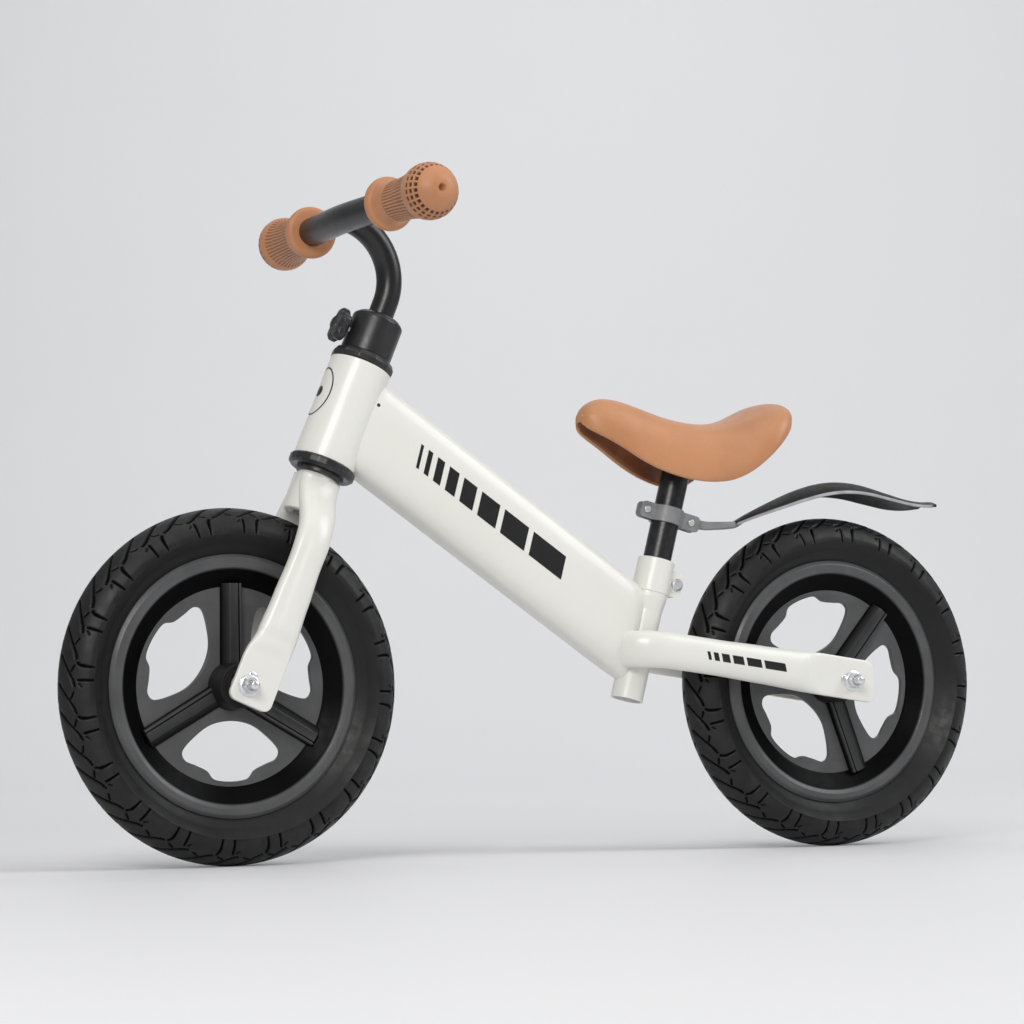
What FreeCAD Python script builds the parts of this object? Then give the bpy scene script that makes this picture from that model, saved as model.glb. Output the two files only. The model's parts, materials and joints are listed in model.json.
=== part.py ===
"""Child's balance bike: two spoked wheels, a swept frame, a fork with a clamped stem, and a sprung-shape saddle.

Frame of the part: +X forward, +Y to the rider's left, +Z up, origin on the ground midway between the axles.
Lengths are in millimetres.
"""
import FreeCAD
import Part

import math
import os
import re

import Sketcher
from FreeCAD import Placement, Rotation, Vector

# ---------------------------------------------------------------------------------------------------------
# Driving dimensions
# ---------------------------------------------------------------------------------------------------------

SIZES = {
    # wheels: one size front and rear
    "wheel_radius": 150.0,
    "wheel_base": 587.4,
    "tyre_half_width": 23.7,
    "tyre_edge_radius": 127.1,
    "tyre_crown_radius": 27.5,
    "rim_seam_radius": 111.0,
    "rim_half_width": 11.0,
    "rim_lip_radius": 99.0,
    "rim_lip_offset": 12.0,
    "rim_floor_radius": 105.0,
    "disc_radius": 83.0,
    "disc_half_thickness": 2.5,
    "hub_radius": 19.0,
    "hub_half_length": 26.0,
    "hub_nose_radius": 14.0,
    "hub_nose_half_length": 31.0,
    "hub_bore_radius": 7.0,
    "spoke_width": 17.0,
    "spoke_half_height": 9.0,
    "bearing_outer_radius": 11.0,
    "bearing_width": 7.0,
    "bearing_bore_radius": 4.25,
    # axles and what sits on them
    "axle_radius": 4.2,
    "axle_tip_radius": 4.0,
    "axle_tip_length": 6.6,
    "axle_half_length": 59.0,
    "spacer_radius": 6.5,
    "joint_gap": 0.3,
    "plate_inner": 37.0,
    "plate_thickness": 6.0,
    "washer_radius": 9.5,
    "washer_thickness": 2.0,
    "nut_radius": 7.5,
    "nut_length": 6.5,
    # steering column, measured along its own axis from a point inside the head tube
    "steer_tilt": 23.0,
    "steer_origin_x": 188.5,
    "steer_origin_z": 381.0,
    "head_tube_radius": 27.0,
    "head_tube_bore": 24.0,
    "head_tube_low": -45.0,
    "head_tube_high": 46.0,
    "cup_radius": 29.5,
    "cup_height": 9.0,
    "seal_radius": 20.5,
    "seal_height": 4.0,
    "steerer_radius": 14.3,
    "steerer_bore": 11.15,
    "lock_nut_radius": 28.0,
    "lock_nut_height": 9.7,
    "collar_radius": 22.5,
    "collar_height": 37.5,
    "crown_radius": 18.5,
    "crown_height": 35.0,
    # fork blades
    "blade_depth": 34.0,
    "blade_thickness": 19.0,
    "blade_offset": 37.0,
    "blade_set_back": 3.5,
    "fork_plate_depth": 39.0,
    "fork_plate_end": -269.0,
    # stem and handlebar
    "stem_radius": 11.1,
    "stem_low": -20.0,
    "stem_high": 107.0,
    "bar_radius": 12.7,
    "bar_x": 184.0,
    "bar_z": 552.0,
    "bar_sweep": 3.5,
    "bar_half_width": 172.0,
    "bar_knee": 12.0,
    "grip_inner": 80.0,
    "grip_length": 98.0,
    "grip_flange_radius": 23.2,
    "grip_waist_radius": 18.0,
    "grip_ball_radius": 24.0,
    # clamp knob
    "knob_height": 71.5,
    "knob_radius": 16.0,
    "knob_thickness": 10.0,
    "knob_face": 36.5,
    "knob_screw_radius": 3.0,
    # main tube
    "down_tube_tilt": 34.7,
    "down_tube_depth": 80.0,
    "down_tube_width": 42.0,
    "down_tube_x": 163.1,
    "down_tube_z": 367.3,
    # seat tube, measured along its own axis from its lower end
    "seat_tilt": 15.0,
    "seat_origin_x": -84.0,
    "seat_origin_z": 135.3,
    "seat_tube_radius": 14.6,
    "seat_tube_bore": 12.78,
    "seat_tube_height": 98.0,
    "seat_flare_radius": 16.4,
    "seat_clamp_height": 31.0,
    "seat_post_radius": 12.7,
    "seat_post_low": 20.0,
    "seat_post_high": 224.0,
    "ear_reach": 28.0,
    "ear_thickness": 4.0,
    "ear_gap": 2.4,
    "clamp_bolt_radius": 2.5,
    # chain-stay yoke
    "stay_height": 32.5,
    "stay_thickness": 18.0,
    "yoke_radius": 34.0,
    "yoke_x": -107.0,
    "yoke_z": 181.5,
    "stay_plate_height": 38.0,
    "stay_end_x": -317.0,
    "tube_wall": 1.6,
    # mudguard and its strap
    "strap_height": 14.5,
    "strap_thickness": 2.2,
    "strap_position": 170.0,
    "strap_reach": 32.0,
    "strap_front_reach": 28.5,
    "rivet_reach": 23.0,
    "rivet_radius": 3.2,
    "guard_half_width": 24.5,
    "guard_thickness": 3.0,
    # saddle
    "saddle_skin": 4.0,
}

doc = FreeCAD.newDocument("BalanceBike")
sheet = doc.addObject("Spreadsheet::Sheet", "Sizes")
for row, (alias, number) in enumerate(SIZES.items(), start=1):
    sheet.set(f"A{row}", alias)
    sheet.set(f"B{row}", str(number))
    sheet.setAlias(f"B{row}", alias)
doc.recompute()

SUB_PARTS = []


def size(alias):
    """A driving dimension as the sheet holds it."""
    return float(sheet.getPropertyByName(alias))


def bound(formula):
    """A formula with every driving dimension in it named as the sheet names it."""
    return re.sub(r"[a-z]+(?:_[a-z]+)+", lambda word: "Sizes." + word.group(0), str(formula))


def number(formula):
    """The present value of a formula of driving dimensions."""
    result = sheet.evalExpression(re.sub(r"Sizes\.", "", bound(formula)))
    return float(result)


def keep(piece, label, placement=None):
    """Give a finished sub-part its own name and place, and list it for export."""
    piece.Label = label
    if placement is not None:
        piece.Placement = placement
    SUB_PARTS.append(piece)
    return piece


# ---------------------------------------------------------------------------------------------------------
# Local frames
# ---------------------------------------------------------------------------------------------------------

STEER = Placement(Vector(size("steer_origin_x"), 0, size("steer_origin_z")),
                  Rotation(Vector(0, 1, 0), -size("steer_tilt")))
SEAT = Placement(Vector(size("seat_origin_x"), 0, size("seat_origin_z")),
                 Rotation(Vector(0, 1, 0), -size("seat_tilt")))
SIDEWAYS = Rotation(Vector(1, 0, 0), -90)
FRONT_AXLE = Placement(Vector(size("wheel_base") / 2, 0, size("wheel_radius")), SIDEWAYS)
REAR_AXLE = Placement(Vector(-size("wheel_base") / 2, 0, size("wheel_radius")), SIDEWAYS)


def along(frame, height, forward=0.0, side=0.0):
    """A frame moved along its own axis, and forward or to the side of it."""
    return frame.multiply(Placement(Vector(forward, side, height), Rotation()))


def turned_about(frame, axis, angle):
    """A frame turned about one of its own axes."""
    return frame.multiply(Placement(Vector(0, 0, 0), Rotation(axis, angle)))


# ---------------------------------------------------------------------------------------------------------
# Builders
# ---------------------------------------------------------------------------------------------------------

def origin_plane(body, role):
    """One of the body's own origin planes."""
    for feature in body.Origin.OriginFeatures:
        if feature.Role == role:
            return feature
    raise RuntimeError("no plane " + role)


def new_sketch(body, name, role):
    """A sketch on one of the body's own origin planes."""
    sketch = body.newObject("Sketcher::SketchObject", name)
    sketch.AttachmentSupport = [(origin_plane(body, role), "")]
    sketch.MapMode = "FlatFace"
    return sketch


def pin_point(sketch, geometry, point, first, second):
    """Bind a sketch point's two coordinates to formulas of the driving dimensions."""
    for kind, formula in (("DistanceX", first), ("DistanceY", second)):
        if number(formula) == 0:
            axis = -2 if kind == "DistanceX" else -1
            sketch.addConstraint(Sketcher.Constraint("PointOnObject", geometry, point, axis))
            continue
        index = sketch.addConstraint(Sketcher.Constraint(kind, -1, 1, geometry, point, number(formula)))
        sketch.setExpression(f"Constraints[{index}]", bound(formula))


def outline(sketch, points):
    """A closed outline. A point is (x, y) after a straight run, or (x, y, radius, turn) after an arc.

    The turn is 1 where the arc goes round anticlockwise, and -1 where it goes clockwise.
    """
    ends = []
    for index, point in enumerate(points):
        before = points[index - 1]
        start = Vector(number(before[0]), number(before[1]), 0)
        end = Vector(number(point[0]), number(point[1]), 0)
        if len(point) == 2:
            geometry = sketch.addGeometry(Part.LineSegment(start, end), False)
            ends.append((geometry, 1, 2))
            continue
        radius = number(point[2])
        chord = end - start
        left = Vector(-chord.y, chord.x, 0).normalize() * point[3]
        height = math.sqrt(max(radius ** 2 - (chord.Length / 2) ** 2, 0.0))
        middle = (start + end) * 0.5 + left * (height - radius)
        geometry = sketch.addGeometry(Part.Arc(start, middle, end), False)
        ends.append((geometry, 1, 2) if point[3] > 0 else (geometry, 2, 1))
        ring = sketch.addConstraint(Sketcher.Constraint("Radius", geometry, radius))
        sketch.setExpression(f"Constraints[{ring}]", bound(point[2]))
    for index, point in enumerate(points):
        geometry, _, last = ends[index]
        following, first, _ = ends[(index + 1) % len(points)]
        sketch.addConstraint(Sketcher.Constraint("Coincident", geometry, last, following, first))
        pin_point(sketch, geometry, last, point[0], point[1])


def turned(label, points, placement, keep_it=True):
    """A body of revolution about its own Z axis, from an outline of (radius, height) points."""
    body = doc.addObject("PartDesign::Body", label)
    sketch = new_sketch(body, label + "_outline", "XZ_Plane")
    outline(sketch, points)
    spin = body.newObject("PartDesign::Revolution", label + "_turning")
    spin.Profile = sketch
    spin.ReferenceAxis = (sketch, ["V_Axis"])
    spin.Angle = 360.0
    sketch.Visibility = False
    doc.recompute()
    if keep_it:
        return keep(body, label, placement)
    body.Placement = placement
    return body


def ring(label, outer, inner, height, placement, keep_it=True):
    """A plain ring or sleeve standing on its own origin."""
    points = [(inner, "0"), (outer, "0"), (outer, height), (inner, height)]
    return turned(label, points, placement, keep_it)


def solid_feature(label, shape, placement=None):
    """A sub-part whose shape comes from the functions below."""
    feature = doc.addObject("Part::Feature", label)
    feature.Shape = shape
    return keep(feature, label, placement)


def world_shape(piece):
    """A piece's shape where the piece stands."""
    shape = piece.Shape.copy()
    shape.Placement = piece.Placement
    return shape


def one_solid(shape):
    """The largest solid in a shape, cleaned of leftover seams."""
    solids = sorted(shape.Solids, key=lambda solid: solid.Volume)
    return solids[-1].removeSplitter()


def rounded_ring(centre, across, up, width, height, power=2.0, count=24):
    """A closed smooth outline in the plane of two directions: an ellipse at power 2, squarer above it."""
    points = []
    for step in range(count):
        angle = 2 * math.pi * (step + 0.5) / count
        cosine = math.cos(angle)
        sine = math.sin(angle)
        first = math.copysign(abs(cosine) ** (2 / power), cosine) * width / 2
        second = math.copysign(abs(sine) ** (2 / power), sine) * height / 2
        points.append(centre + across * first + up * second)
    curve = Part.BSplineCurve()
    curve.interpolate(points, PeriodicFlag=True)
    return Part.Wire([curve.toShape()])


def lofted(rings):
    """One smooth solid through a run of outlines."""
    return Part.makeLoft(rings, True, False)


def inside(stations):
    """The outlines of a tube's hollow, one wall in from its stations: (centre, across, up, width, height, power)."""
    wall = 2 * size("tube_wall")
    return [rounded_ring(centre, across, up, width - wall, height - wall, power)
            for centre, across, up, width, height, power in stations]


def bent_rod(points, radius):
    """A round rod along straight runs joined by arcs: each point is (place, bend radius)."""
    edges = []
    last = points[0][0]
    for index in range(1, len(points) - 1):
        corner, bend = points[index]
        into = (corner - points[index - 1][0]).normalize()
        out = (points[index + 1][0] - corner).normalize()
        turn = into.getAngle(out)
        reach = bend * math.tan(turn / 2)
        start = corner - into * reach
        end = corner + out * reach
        inward = (out - into).normalize()
        middle = corner + inward * (bend / math.cos(turn / 2) - bend)
        if (start - last).Length > 0.01:
            edges.append(Part.makeLine(last, start))
        edges.append(Part.Arc(start, middle, end).toShape())
        last = end
    edges.append(Part.makeLine(last, points[-1][0]))
    path = Part.Wire(edges)
    heading = (points[1][0] - points[0][0]).normalize()
    profile = Part.Wire([Part.makeCircle(radius, points[0][0], heading)])
    pipe = Part.BRepOffsetAPI.MakePipeShell(path)
    pipe.setFrenetMode(True)
    pipe.add(profile)
    pipe.build()
    pipe.makeSolid()
    return Part.Solid(pipe.shape())


# ---------------------------------------------------------------------------------------------------------
# Wheels
# ---------------------------------------------------------------------------------------------------------

def tyre(label, axle):
    """A solid foam tyre: round crown, narrow shoulder, and sidewalls that close in to the rim seam."""
    width = "tyre_half_width"
    points = [
        ("rim_floor_radius", f"{width} - 6"),
        ("rim_seam_radius", f"{width} - rim_half_width"),
        ("tyre_edge_radius", "0.1"),
        ("tyre_edge_radius + 4", "0.1"),
        ("wheel_radius", width, "tyre_crown_radius", 1),
        ("tyre_edge_radius + 4", f"2 * {width} - 0.1", "tyre_crown_radius", 1),
        ("tyre_edge_radius", f"2 * {width} - 0.1"),
        ("rim_seam_radius", f"{width} + rim_half_width"),
        ("rim_floor_radius", f"{width} + 6"),
    ]
    return turned(label, points, along(axle, -size(width)))


def window(label, axle, angle):
    """The cutter for one opening between two spokes: a lens by the hub, wide shoulders and a notch outside."""
    half = [(0, 29.0), (17.5, 32.0), (31.5, 41.0), (43.0, 53.0), (41.0, 61.5), (31.0, 66.0), (21.5, 70.5),
            (15.0, 77.5), (0, 79.5)]
    points = [Vector(across, out, 0) for across, out in half]
    points += [Vector(-across, out, 0) for across, out in reversed(half[1:-1])]
    curve = Part.BSplineCurve()
    curve.interpolate(points, PeriodicFlag=True)
    cutter = Part.Face(Part.Wire([curve.toShape()])).extrude(Vector(0, 0, 40))
    feature = doc.addObject("Part::Feature", label)
    feature.Shape = cutter
    feature.Placement = turned_about(along(axle, -20), Vector(0, 0, 1), angle)
    return feature


def spoke(label, axle, angle):
    """One raised spoke: a box-section bar from the hub to the barrel, proud of the disc on both sides."""
    bar = doc.addObject("Part::Box", label)
    bar.setExpression("Length", bound("spoke_width"))
    bar.setExpression("Width", bound("disc_radius - 10"))
    bar.setExpression("Height", bound("2 * spoke_half_height"))
    frame = turned_about(axle, Vector(0, 0, 1), angle)
    bar.Placement = along(frame, -size("spoke_half_height"), -size("spoke_width") / 2, 12)
    return bar


def rim(label, axle, first_spoke):
    """A moulded rim: lip, deep barrel, thin disc with three openings, three raised spokes and the hub."""
    mid = "hub_nose_half_length"
    lip = "2"
    half = [
        ("hub_bore_radius", f"{mid} - bearing_width"),
        ("bearing_outer_radius", f"{mid} - bearing_width"),
        ("bearing_outer_radius", mid),
        ("hub_nose_radius", mid),
        ("hub_nose_radius", "hub_half_length"),
        ("hub_radius - 1", "hub_half_length"),
        ("hub_radius", "hub_half_length - 1"),
        ("hub_radius", "disc_half_thickness"),
        ("disc_radius", "disc_half_thickness"),
        ("rim_lip_radius", "rim_lip_offset"),
        ("rim_lip_radius + 4", f"rim_lip_offset + {lip}"),
        ("rim_seam_radius - 3", f"rim_lip_offset + {lip}"),
        ("rim_seam_radius", "rim_half_width"),
        ("rim_floor_radius", "6"),
    ]
    upper = [(radius, f"{mid} + ({offset})") for radius, offset in half]
    lower = [(radius, f"{mid} - ({offset})") for radius, offset in reversed(half)]
    body = turned(label + "_turned", upper + lower, along(axle, -size(mid)), False)
    spokes = [spoke(f"{label}_spoke_{index}", axle, first_spoke + 120 * index) for index in range(3)]
    whole = doc.addObject("Part::MultiFuse", label + "_whole")
    whole.Shapes = [body] + spokes
    cutters = [window(f"{label}_window_{index}", axle, first_spoke + 60 + 120 * index) for index in range(3)]
    bore = doc.addObject("Part::Cylinder", label + "_bore")
    bore.setExpression("Radius", bound("hub_bore_radius"))
    bore.setExpression("Height", bound("2 * hub_nose_half_length"))
    bore.Placement = along(axle, -size(mid))
    tools = doc.addObject("Part::MultiFuse", label + "_openings")
    tools.Shapes = cutters + [bore]
    cut = doc.addObject("Part::Cut", label)
    cut.Base = whole
    cut.Tool = tools
    cut.Refine = True
    doc.recompute()
    return keep(cut, label)


def bearing(label, axle, side):
    """A shielded ball bearing, drawn as the ring that fills its seat, with a shallow step between the races."""
    points = [
        ("bearing_bore_radius", "0"),
        ("bearing_outer_radius", "0"),
        ("bearing_outer_radius", "bearing_width"),
        ("bearing_outer_radius - 2", "bearing_width"),
        ("bearing_outer_radius - 2", "bearing_width - 0.6"),
        ("bearing_bore_radius + 2", "bearing_width - 0.6"),
        ("bearing_bore_radius + 2", "bearing_width"),
        ("bearing_bore_radius", "bearing_width"),
    ]
    start = size("hub_nose_half_length") - size("bearing_width")
    return turned(label, points, along(sided(axle, side), start))


def sided(axle, side):
    """The axle's frame, looking outward to the left (1) or to the right (-1)."""
    if side > 0:
        return axle
    return turned_about(axle, Vector(1, 0, 0), 180)


def axle_set(prefix, axle):
    """The threaded axle with its spacers, tabbed washers and nuts on both sides."""
    pieces = []
    points = [
        ("0", "0"),
        ("axle_tip_radius - 0.6", "0"),
        ("axle_tip_radius", "0.6"),
        ("axle_tip_radius", "axle_tip_length"),
        ("axle_radius", "axle_tip_length + 0.3"),
        ("axle_radius", "2 * axle_half_length - axle_tip_length - 0.3"),
        ("axle_tip_radius", "2 * axle_half_length - axle_tip_length"),
        ("axle_tip_radius", "2 * axle_half_length - 0.6"),
        ("axle_tip_radius - 0.6", "2 * axle_half_length"),
        ("0", "2 * axle_half_length"),
    ]
    pieces.append(turned(prefix + "_axle", points, along(axle, -size("axle_half_length"))))
    outer = size("plate_inner") + size("plate_thickness")
    for side, word in ((1, "left"), (-1, "right")):
        frame = sided(axle, side)
        gap = size("hub_nose_half_length") + size("joint_gap")
        ring(f"{prefix}_spacer_{word}", "spacer_radius", "axle_radius",
             "plate_inner - hub_nose_half_length - joint_gap", along(frame, gap))
        ring(f"{prefix}_washer_{word}", "washer_radius", "axle_radius", "washer_thickness", along(frame, outer))
        hex_nut(f"{prefix}_nut_{word}", "nut_radius", "axle_radius", "nut_length",
                along(frame, outer + size("washer_thickness")))
    return pieces


def hex_nut(label, corner, bore, length, placement):
    """A six-sided nut with its bore, standing on its own origin."""
    body = doc.addObject("PartDesign::Body", label)
    sketch = new_sketch(body, label + "_outline", "XY_Plane")
    ends = []
    for step in range(6):
        start = Vector(number(corner), 0, 0)
        start = Rotation(Vector(0, 0, 1), 60 * step).multVec(start)
        end = Rotation(Vector(0, 0, 1), 60).multVec(start)
        ends.append(sketch.addGeometry(Part.LineSegment(start, end), False))
    circle = sketch.addGeometry(Part.Circle(Vector(0, 0, 0), Vector(0, 0, 1), number(corner)), True)
    for step, line in enumerate(ends):
        sketch.addConstraint(Sketcher.Constraint("Coincident", line, 2, ends[(step + 1) % 6], 1))
        sketch.addConstraint(Sketcher.Constraint("PointOnObject", line, 1, circle))
        if step:
            sketch.addConstraint(Sketcher.Constraint("Equal", ends[0], line))
    sketch.addConstraint(Sketcher.Constraint("Coincident", circle, 3, -1, 1))
    wide = sketch.addConstraint(Sketcher.Constraint("Radius", circle, number(corner)))
    sketch.setExpression(f"Constraints[{wide}]", bound(corner))
    sketch.addConstraint(Sketcher.Constraint("PointOnObject", ends[0], 1, -1))
    hole = sketch.addGeometry(Part.Circle(Vector(0, 0, 0), Vector(0, 0, 1), number(bore)), False)
    sketch.addConstraint(Sketcher.Constraint("Coincident", hole, 3, -1, 1))
    narrow = sketch.addConstraint(Sketcher.Constraint("Radius", hole, number(bore)))
    sketch.setExpression(f"Constraints[{narrow}]", bound(bore))
    pad = body.newObject("PartDesign::Pad", label + "_pad")
    pad.Profile = sketch
    pad.setExpression("Length", bound(length))
    doc.recompute()
    return keep(body, label, placement)


def wheel(prefix, axle, first_spoke):
    """One whole wheel with its axle set."""
    tyre(prefix + "_tyre", axle)
    rim(prefix + "_rim", axle, first_spoke)
    bearing(prefix + "_bearing_left", axle, 1)
    bearing(prefix + "_bearing_right", axle, -1)
    axle_set(prefix, axle)


# A spoke's angle is counted from straight down, towards the front of the bike.
wheel("front", FRONT_AXLE, 180.0)
wheel("rear", REAR_AXLE, 20.0)


# ---------------------------------------------------------------------------------------------------------
# Headset, steerer, crown and stem clamp
# ---------------------------------------------------------------------------------------------------------

def head_tube():
    """The short wide tube at the front of the frame."""
    return ring("head_tube", "head_tube_radius", "head_tube_bore", "head_tube_high - head_tube_low",
                along(STEER, size("head_tube_low")))


def headset():
    """Cups and bearings in the head tube, and the seal and faceted lock nut that turn with the fork."""
    top = size("head_tube_high")
    low = size("head_tube_low")
    cup_points = [
        ("steerer_radius + 2", "0"),
        ("cup_radius - 2", "0"),
        ("cup_radius", "2"),
        ("cup_radius", "cup_height - 1.5"),
        ("cup_radius - 1.5", "cup_height"),
        ("head_tube_bore", "cup_height"),
        ("head_tube_bore", "cup_height + 6"),
        ("steerer_radius + 5", "cup_height + 6"),
        ("steerer_radius + 5", "3"),
        ("steerer_radius + 2", "3"),
    ]
    turned("lower_cup", cup_points, along(STEER, low - size("cup_height")))
    ring("lower_head_bearing", "steerer_radius + 5", "steerer_radius + 0.06", "7",
         along(STEER, low - size("cup_height") + 3))
    ring("upper_head_bearing", "head_tube_bore", "steerer_radius + 0.06", "8", along(STEER, top - 8.3))
    seal_points = [
        ("steerer_radius", "0"),
        ("seal_radius - 1", "0"),
        ("seal_radius", "1"),
        ("seal_radius", "seal_height"),
        ("steerer_radius", "seal_height"),
    ]
    seal_base = low - size("cup_height") - size("joint_gap") - size("seal_height")
    turned("crown_seal", seal_points, along(STEER, seal_base))
    nut_points = [
        ("steerer_radius", "0"),
        ("lock_nut_radius - 0.6", "0"),
        ("lock_nut_radius", "0.6"),
        ("lock_nut_radius", "lock_nut_height - 4"),
        ("lock_nut_radius - 2.5", "lock_nut_height"),
        ("steerer_radius", "lock_nut_height"),
    ]
    turned("lock_nut", nut_points, along(STEER, top + size("joint_gap")))
    return seal_base


def stem_collar(base):
    """The round clamp on top of the steerer that grips the stem, threaded for the knob's screw."""
    collar_points = [
        ("steerer_radius", "0"),
        ("collar_radius", "0"),
        ("collar_radius", "collar_height - 4"),
        ("collar_radius - 4", "collar_height", "4", 1),
        ("steerer_bore", "collar_height"),
        ("steerer_bore", "collar_height - 6"),
        ("steerer_radius", "collar_height - 6"),
    ]
    body = turned("stem_collar_turned", collar_points, along(STEER, base), False)
    hole = doc.addObject("Part::Cylinder", "stem_collar_hole")
    hole.setExpression("Radius", bound("knob_screw_radius"))
    hole.setExpression("Height", bound("collar_radius"))
    frame = turned_about(along(STEER, size("knob_height")), Vector(0, 1, 0), 90)
    hole.Placement = along(frame, size("steerer_radius") - 1)
    cut = doc.addObject("Part::Cut", "stem_collar")
    cut.Base = body
    cut.Tool = hole
    doc.recompute()
    return keep(cut, "stem_collar")


def steerer(low, high):
    """The tube that runs from the crown up through the head tube into the collar."""
    points = [
        ("steerer_bore", "0"),
        ("steerer_radius", "0"),
        ("steerer_radius", str(high - low)),
        ("steerer_bore", str(high - low)),
    ]
    return turned("steerer_tube", points, along(STEER, low))


def knob(screw_tip):
    """The five-lobed hand knob, on the front of the collar, with its clamping screw."""
    frame = turned_about(along(STEER, size("knob_height")), Vector(0, 1, 0), 90)
    base = size("knob_face") - size("knob_thickness")
    ring("knob_screw", "knob_screw_radius - 0.05", "0", f"knob_face - 4 - {screw_tip}", along(frame, screw_tip))
    core = Part.makeCylinder(size("knob_radius") - 4.0, size("knob_thickness"))
    for lobe in range(5):
        place = Rotation(Vector(0, 0, 1), 72 * lobe + 36).multVec(Vector(size("knob_radius") - 5.2, 0, 0))
        core = core.fuse(Part.makeCylinder(5.2, size("knob_thickness"), place))
    core = core.removeSplitter()
    rims = [edge for edge in core.Edges if abs(edge.BoundBox.ZMax - edge.BoundBox.ZMin) < 0.01]
    core = core.makeFillet(1.6, rims)
    core = core.fuse(Part.makeCylinder(6.0, 3.0, Vector(0, 0, -2.0)))
    core = core.cut(Part.makeCylinder(size("knob_screw_radius") - 0.05, size("knob_thickness") - 4 + 2,
                                      Vector(0, 0, -2.0)))
    solid_feature("clamp_knob", one_solid(core), along(frame, base))


head_tube()
seal_low = headset()
collar_base = size("head_tube_high") + size("joint_gap") + size("lock_nut_height")
stem_collar(collar_base)
steerer(seal_low - size("crown_height"), collar_base + size("collar_height") - 6)
knob(size("steerer_radius") + 0.3)


# ---------------------------------------------------------------------------------------------------------
# Fork crown and blades
# ---------------------------------------------------------------------------------------------------------

def crown():
    """The outer sleeve below the seal that the two blades grow out of, open at the bottom."""
    low = seal_low - size("crown_height")
    points = [
        ("steerer_radius", "0"),
        ("crown_radius - 1", "0"),
        ("crown_radius", "1"),
        ("crown_radius", "crown_height - 2"),
        ("crown_radius - 1", "crown_height"),
        ("steerer_radius", "crown_height"),
    ]
    return turned("fork_crown", points, along(STEER, low))


def blade(side, word):
    """An oval blade that leaves the crown sideways, bends down past the tyre and ends in a flat plate."""
    back = Vector(1, 0, 0)
    set_back = -size("blade_set_back")
    offset = size("blade_offset")
    bend = 23.0
    top = seal_low - 20.0
    depth = size("blade_depth")
    thickness = size("blade_thickness")

    def place(y, z):
        return Vector(set_back, side * y, z)

    stations = [(place(8, top), back, Vector(0, 0, 1), depth - 10, thickness, 2.2)]
    for step in range(5):
        angle = math.radians(90 - 22.5 * step)
        centre = place(offset - bend + bend * math.cos(angle), top - bend + bend * math.sin(angle))
        out = Vector(0, side * math.cos(angle), math.sin(angle))
        stations.append((centre, back, out, depth - 10 + step, thickness, 2.2))
    sides = Vector(0, side, 0)
    for height, change in ((-135.0, -4.0), (-170.0, -1.0), (-200.0, 1.5), (-212.0, 2.5)):
        stations.append((place(offset, height), back, sides, depth + change, thickness, 2.2))
    plate_centre = size("plate_inner") + size("plate_thickness") / 2
    plate_depth = size("fork_plate_depth")
    rings = [rounded_ring(*station) for station in stations]
    rings.append(rounded_ring(Vector(-1.5, side * (plate_centre - 1.0), -222.0), back, sides,
                              depth + 4.0, thickness * 0.72, 2.6))
    rings.append(rounded_ring(Vector(0, side * plate_centre, -230.0), back, sides,
                              plate_depth, size("plate_thickness"), 7.0))
    tube = lofted(rings).cut(lofted(inside(stations[:-1])))
    length = -228.0 - size("fork_plate_end")
    corner = Vector(-plate_depth / 2, side * plate_centre - size("plate_thickness") / 2, size("fork_plate_end"))
    plate = Part.makeBox(plate_depth, size("plate_thickness"), length, corner)
    lower = [edge for edge in plate.Edges if edge.BoundBox.ZMax < corner.z + 0.1 and edge.BoundBox.YLength > 1]
    plate = plate.makeFillet(11.0, lower)
    shape = tube.fuse(plate)
    axle_spot = STEER.inverse().multVec(FRONT_AXLE.Base)
    hole = Part.makeCylinder(size("axle_radius"), 60, Vector(axle_spot.x, side * 20, axle_spot.z),
                             Vector(0, side, 0))
    inner_crown = Part.makeCylinder(size("crown_radius"), 80, Vector(0, 0, top - 40))
    shape = one_solid(shape.cut(hole).cut(inner_crown))
    return solid_feature("fork_blade_" + word, shape, STEER)


crown()
for hand, word in ((1, "left"), (-1, "right")):
    blade(hand, word)


# ---------------------------------------------------------------------------------------------------------
# Stem, handlebar and grips
# ---------------------------------------------------------------------------------------------------------

def bar_point(distance):
    """A place on the handlebar's centre line, that far to the left along Y."""
    sweep = math.tan(math.radians(size("bar_sweep")))
    outside = max(abs(distance) - size("bar_knee"), 0.0)
    return Vector(size("bar_x") - outside * sweep, distance, size("bar_z"))


def handlebar():
    """The bent bar, swept back a little on each side."""
    reach = size("bar_half_width")
    knee = size("bar_knee")
    points = [(bar_point(-reach), 0), (bar_point(-knee), 330.0), (bar_point(knee), 330.0), (bar_point(reach), 0)]
    rod = bent_rod(points, size("bar_radius"))
    core = bent_rod(points, size("bar_radius") - size("tube_wall"))
    solid_feature("handlebar_tube", one_solid(rod.cut(core)))
    return rod


def stem(bar):
    """The stem tube: straight inside the steerer, then one long bend forward into the handlebar."""
    axis = STEER.Rotation.multVec(Vector(0, 0, 1))
    low = STEER.multVec(Vector(0, 0, size("stem_low")))
    high = STEER.multVec(Vector(0, 0, size("stem_high")))
    end = Vector(size("bar_x"), 0, size("bar_z"))
    chord = end - high
    half_turn = axis.getAngle(chord)
    radius = chord.Length / (2 * math.sin(half_turn))
    corner = high + axis * (radius * math.tan(half_turn))
    reach = (end - corner).normalize()
    points = [(low, 0), (corner, radius), (end + reach * 0.5, 0)]
    rod = bent_rod(points, size("stem_radius"))
    core = bent_rod(points, size("stem_radius") - size("tube_wall"))
    return solid_feature("stem_tube", one_solid(rod.cut(core).cut(bar)))


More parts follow.
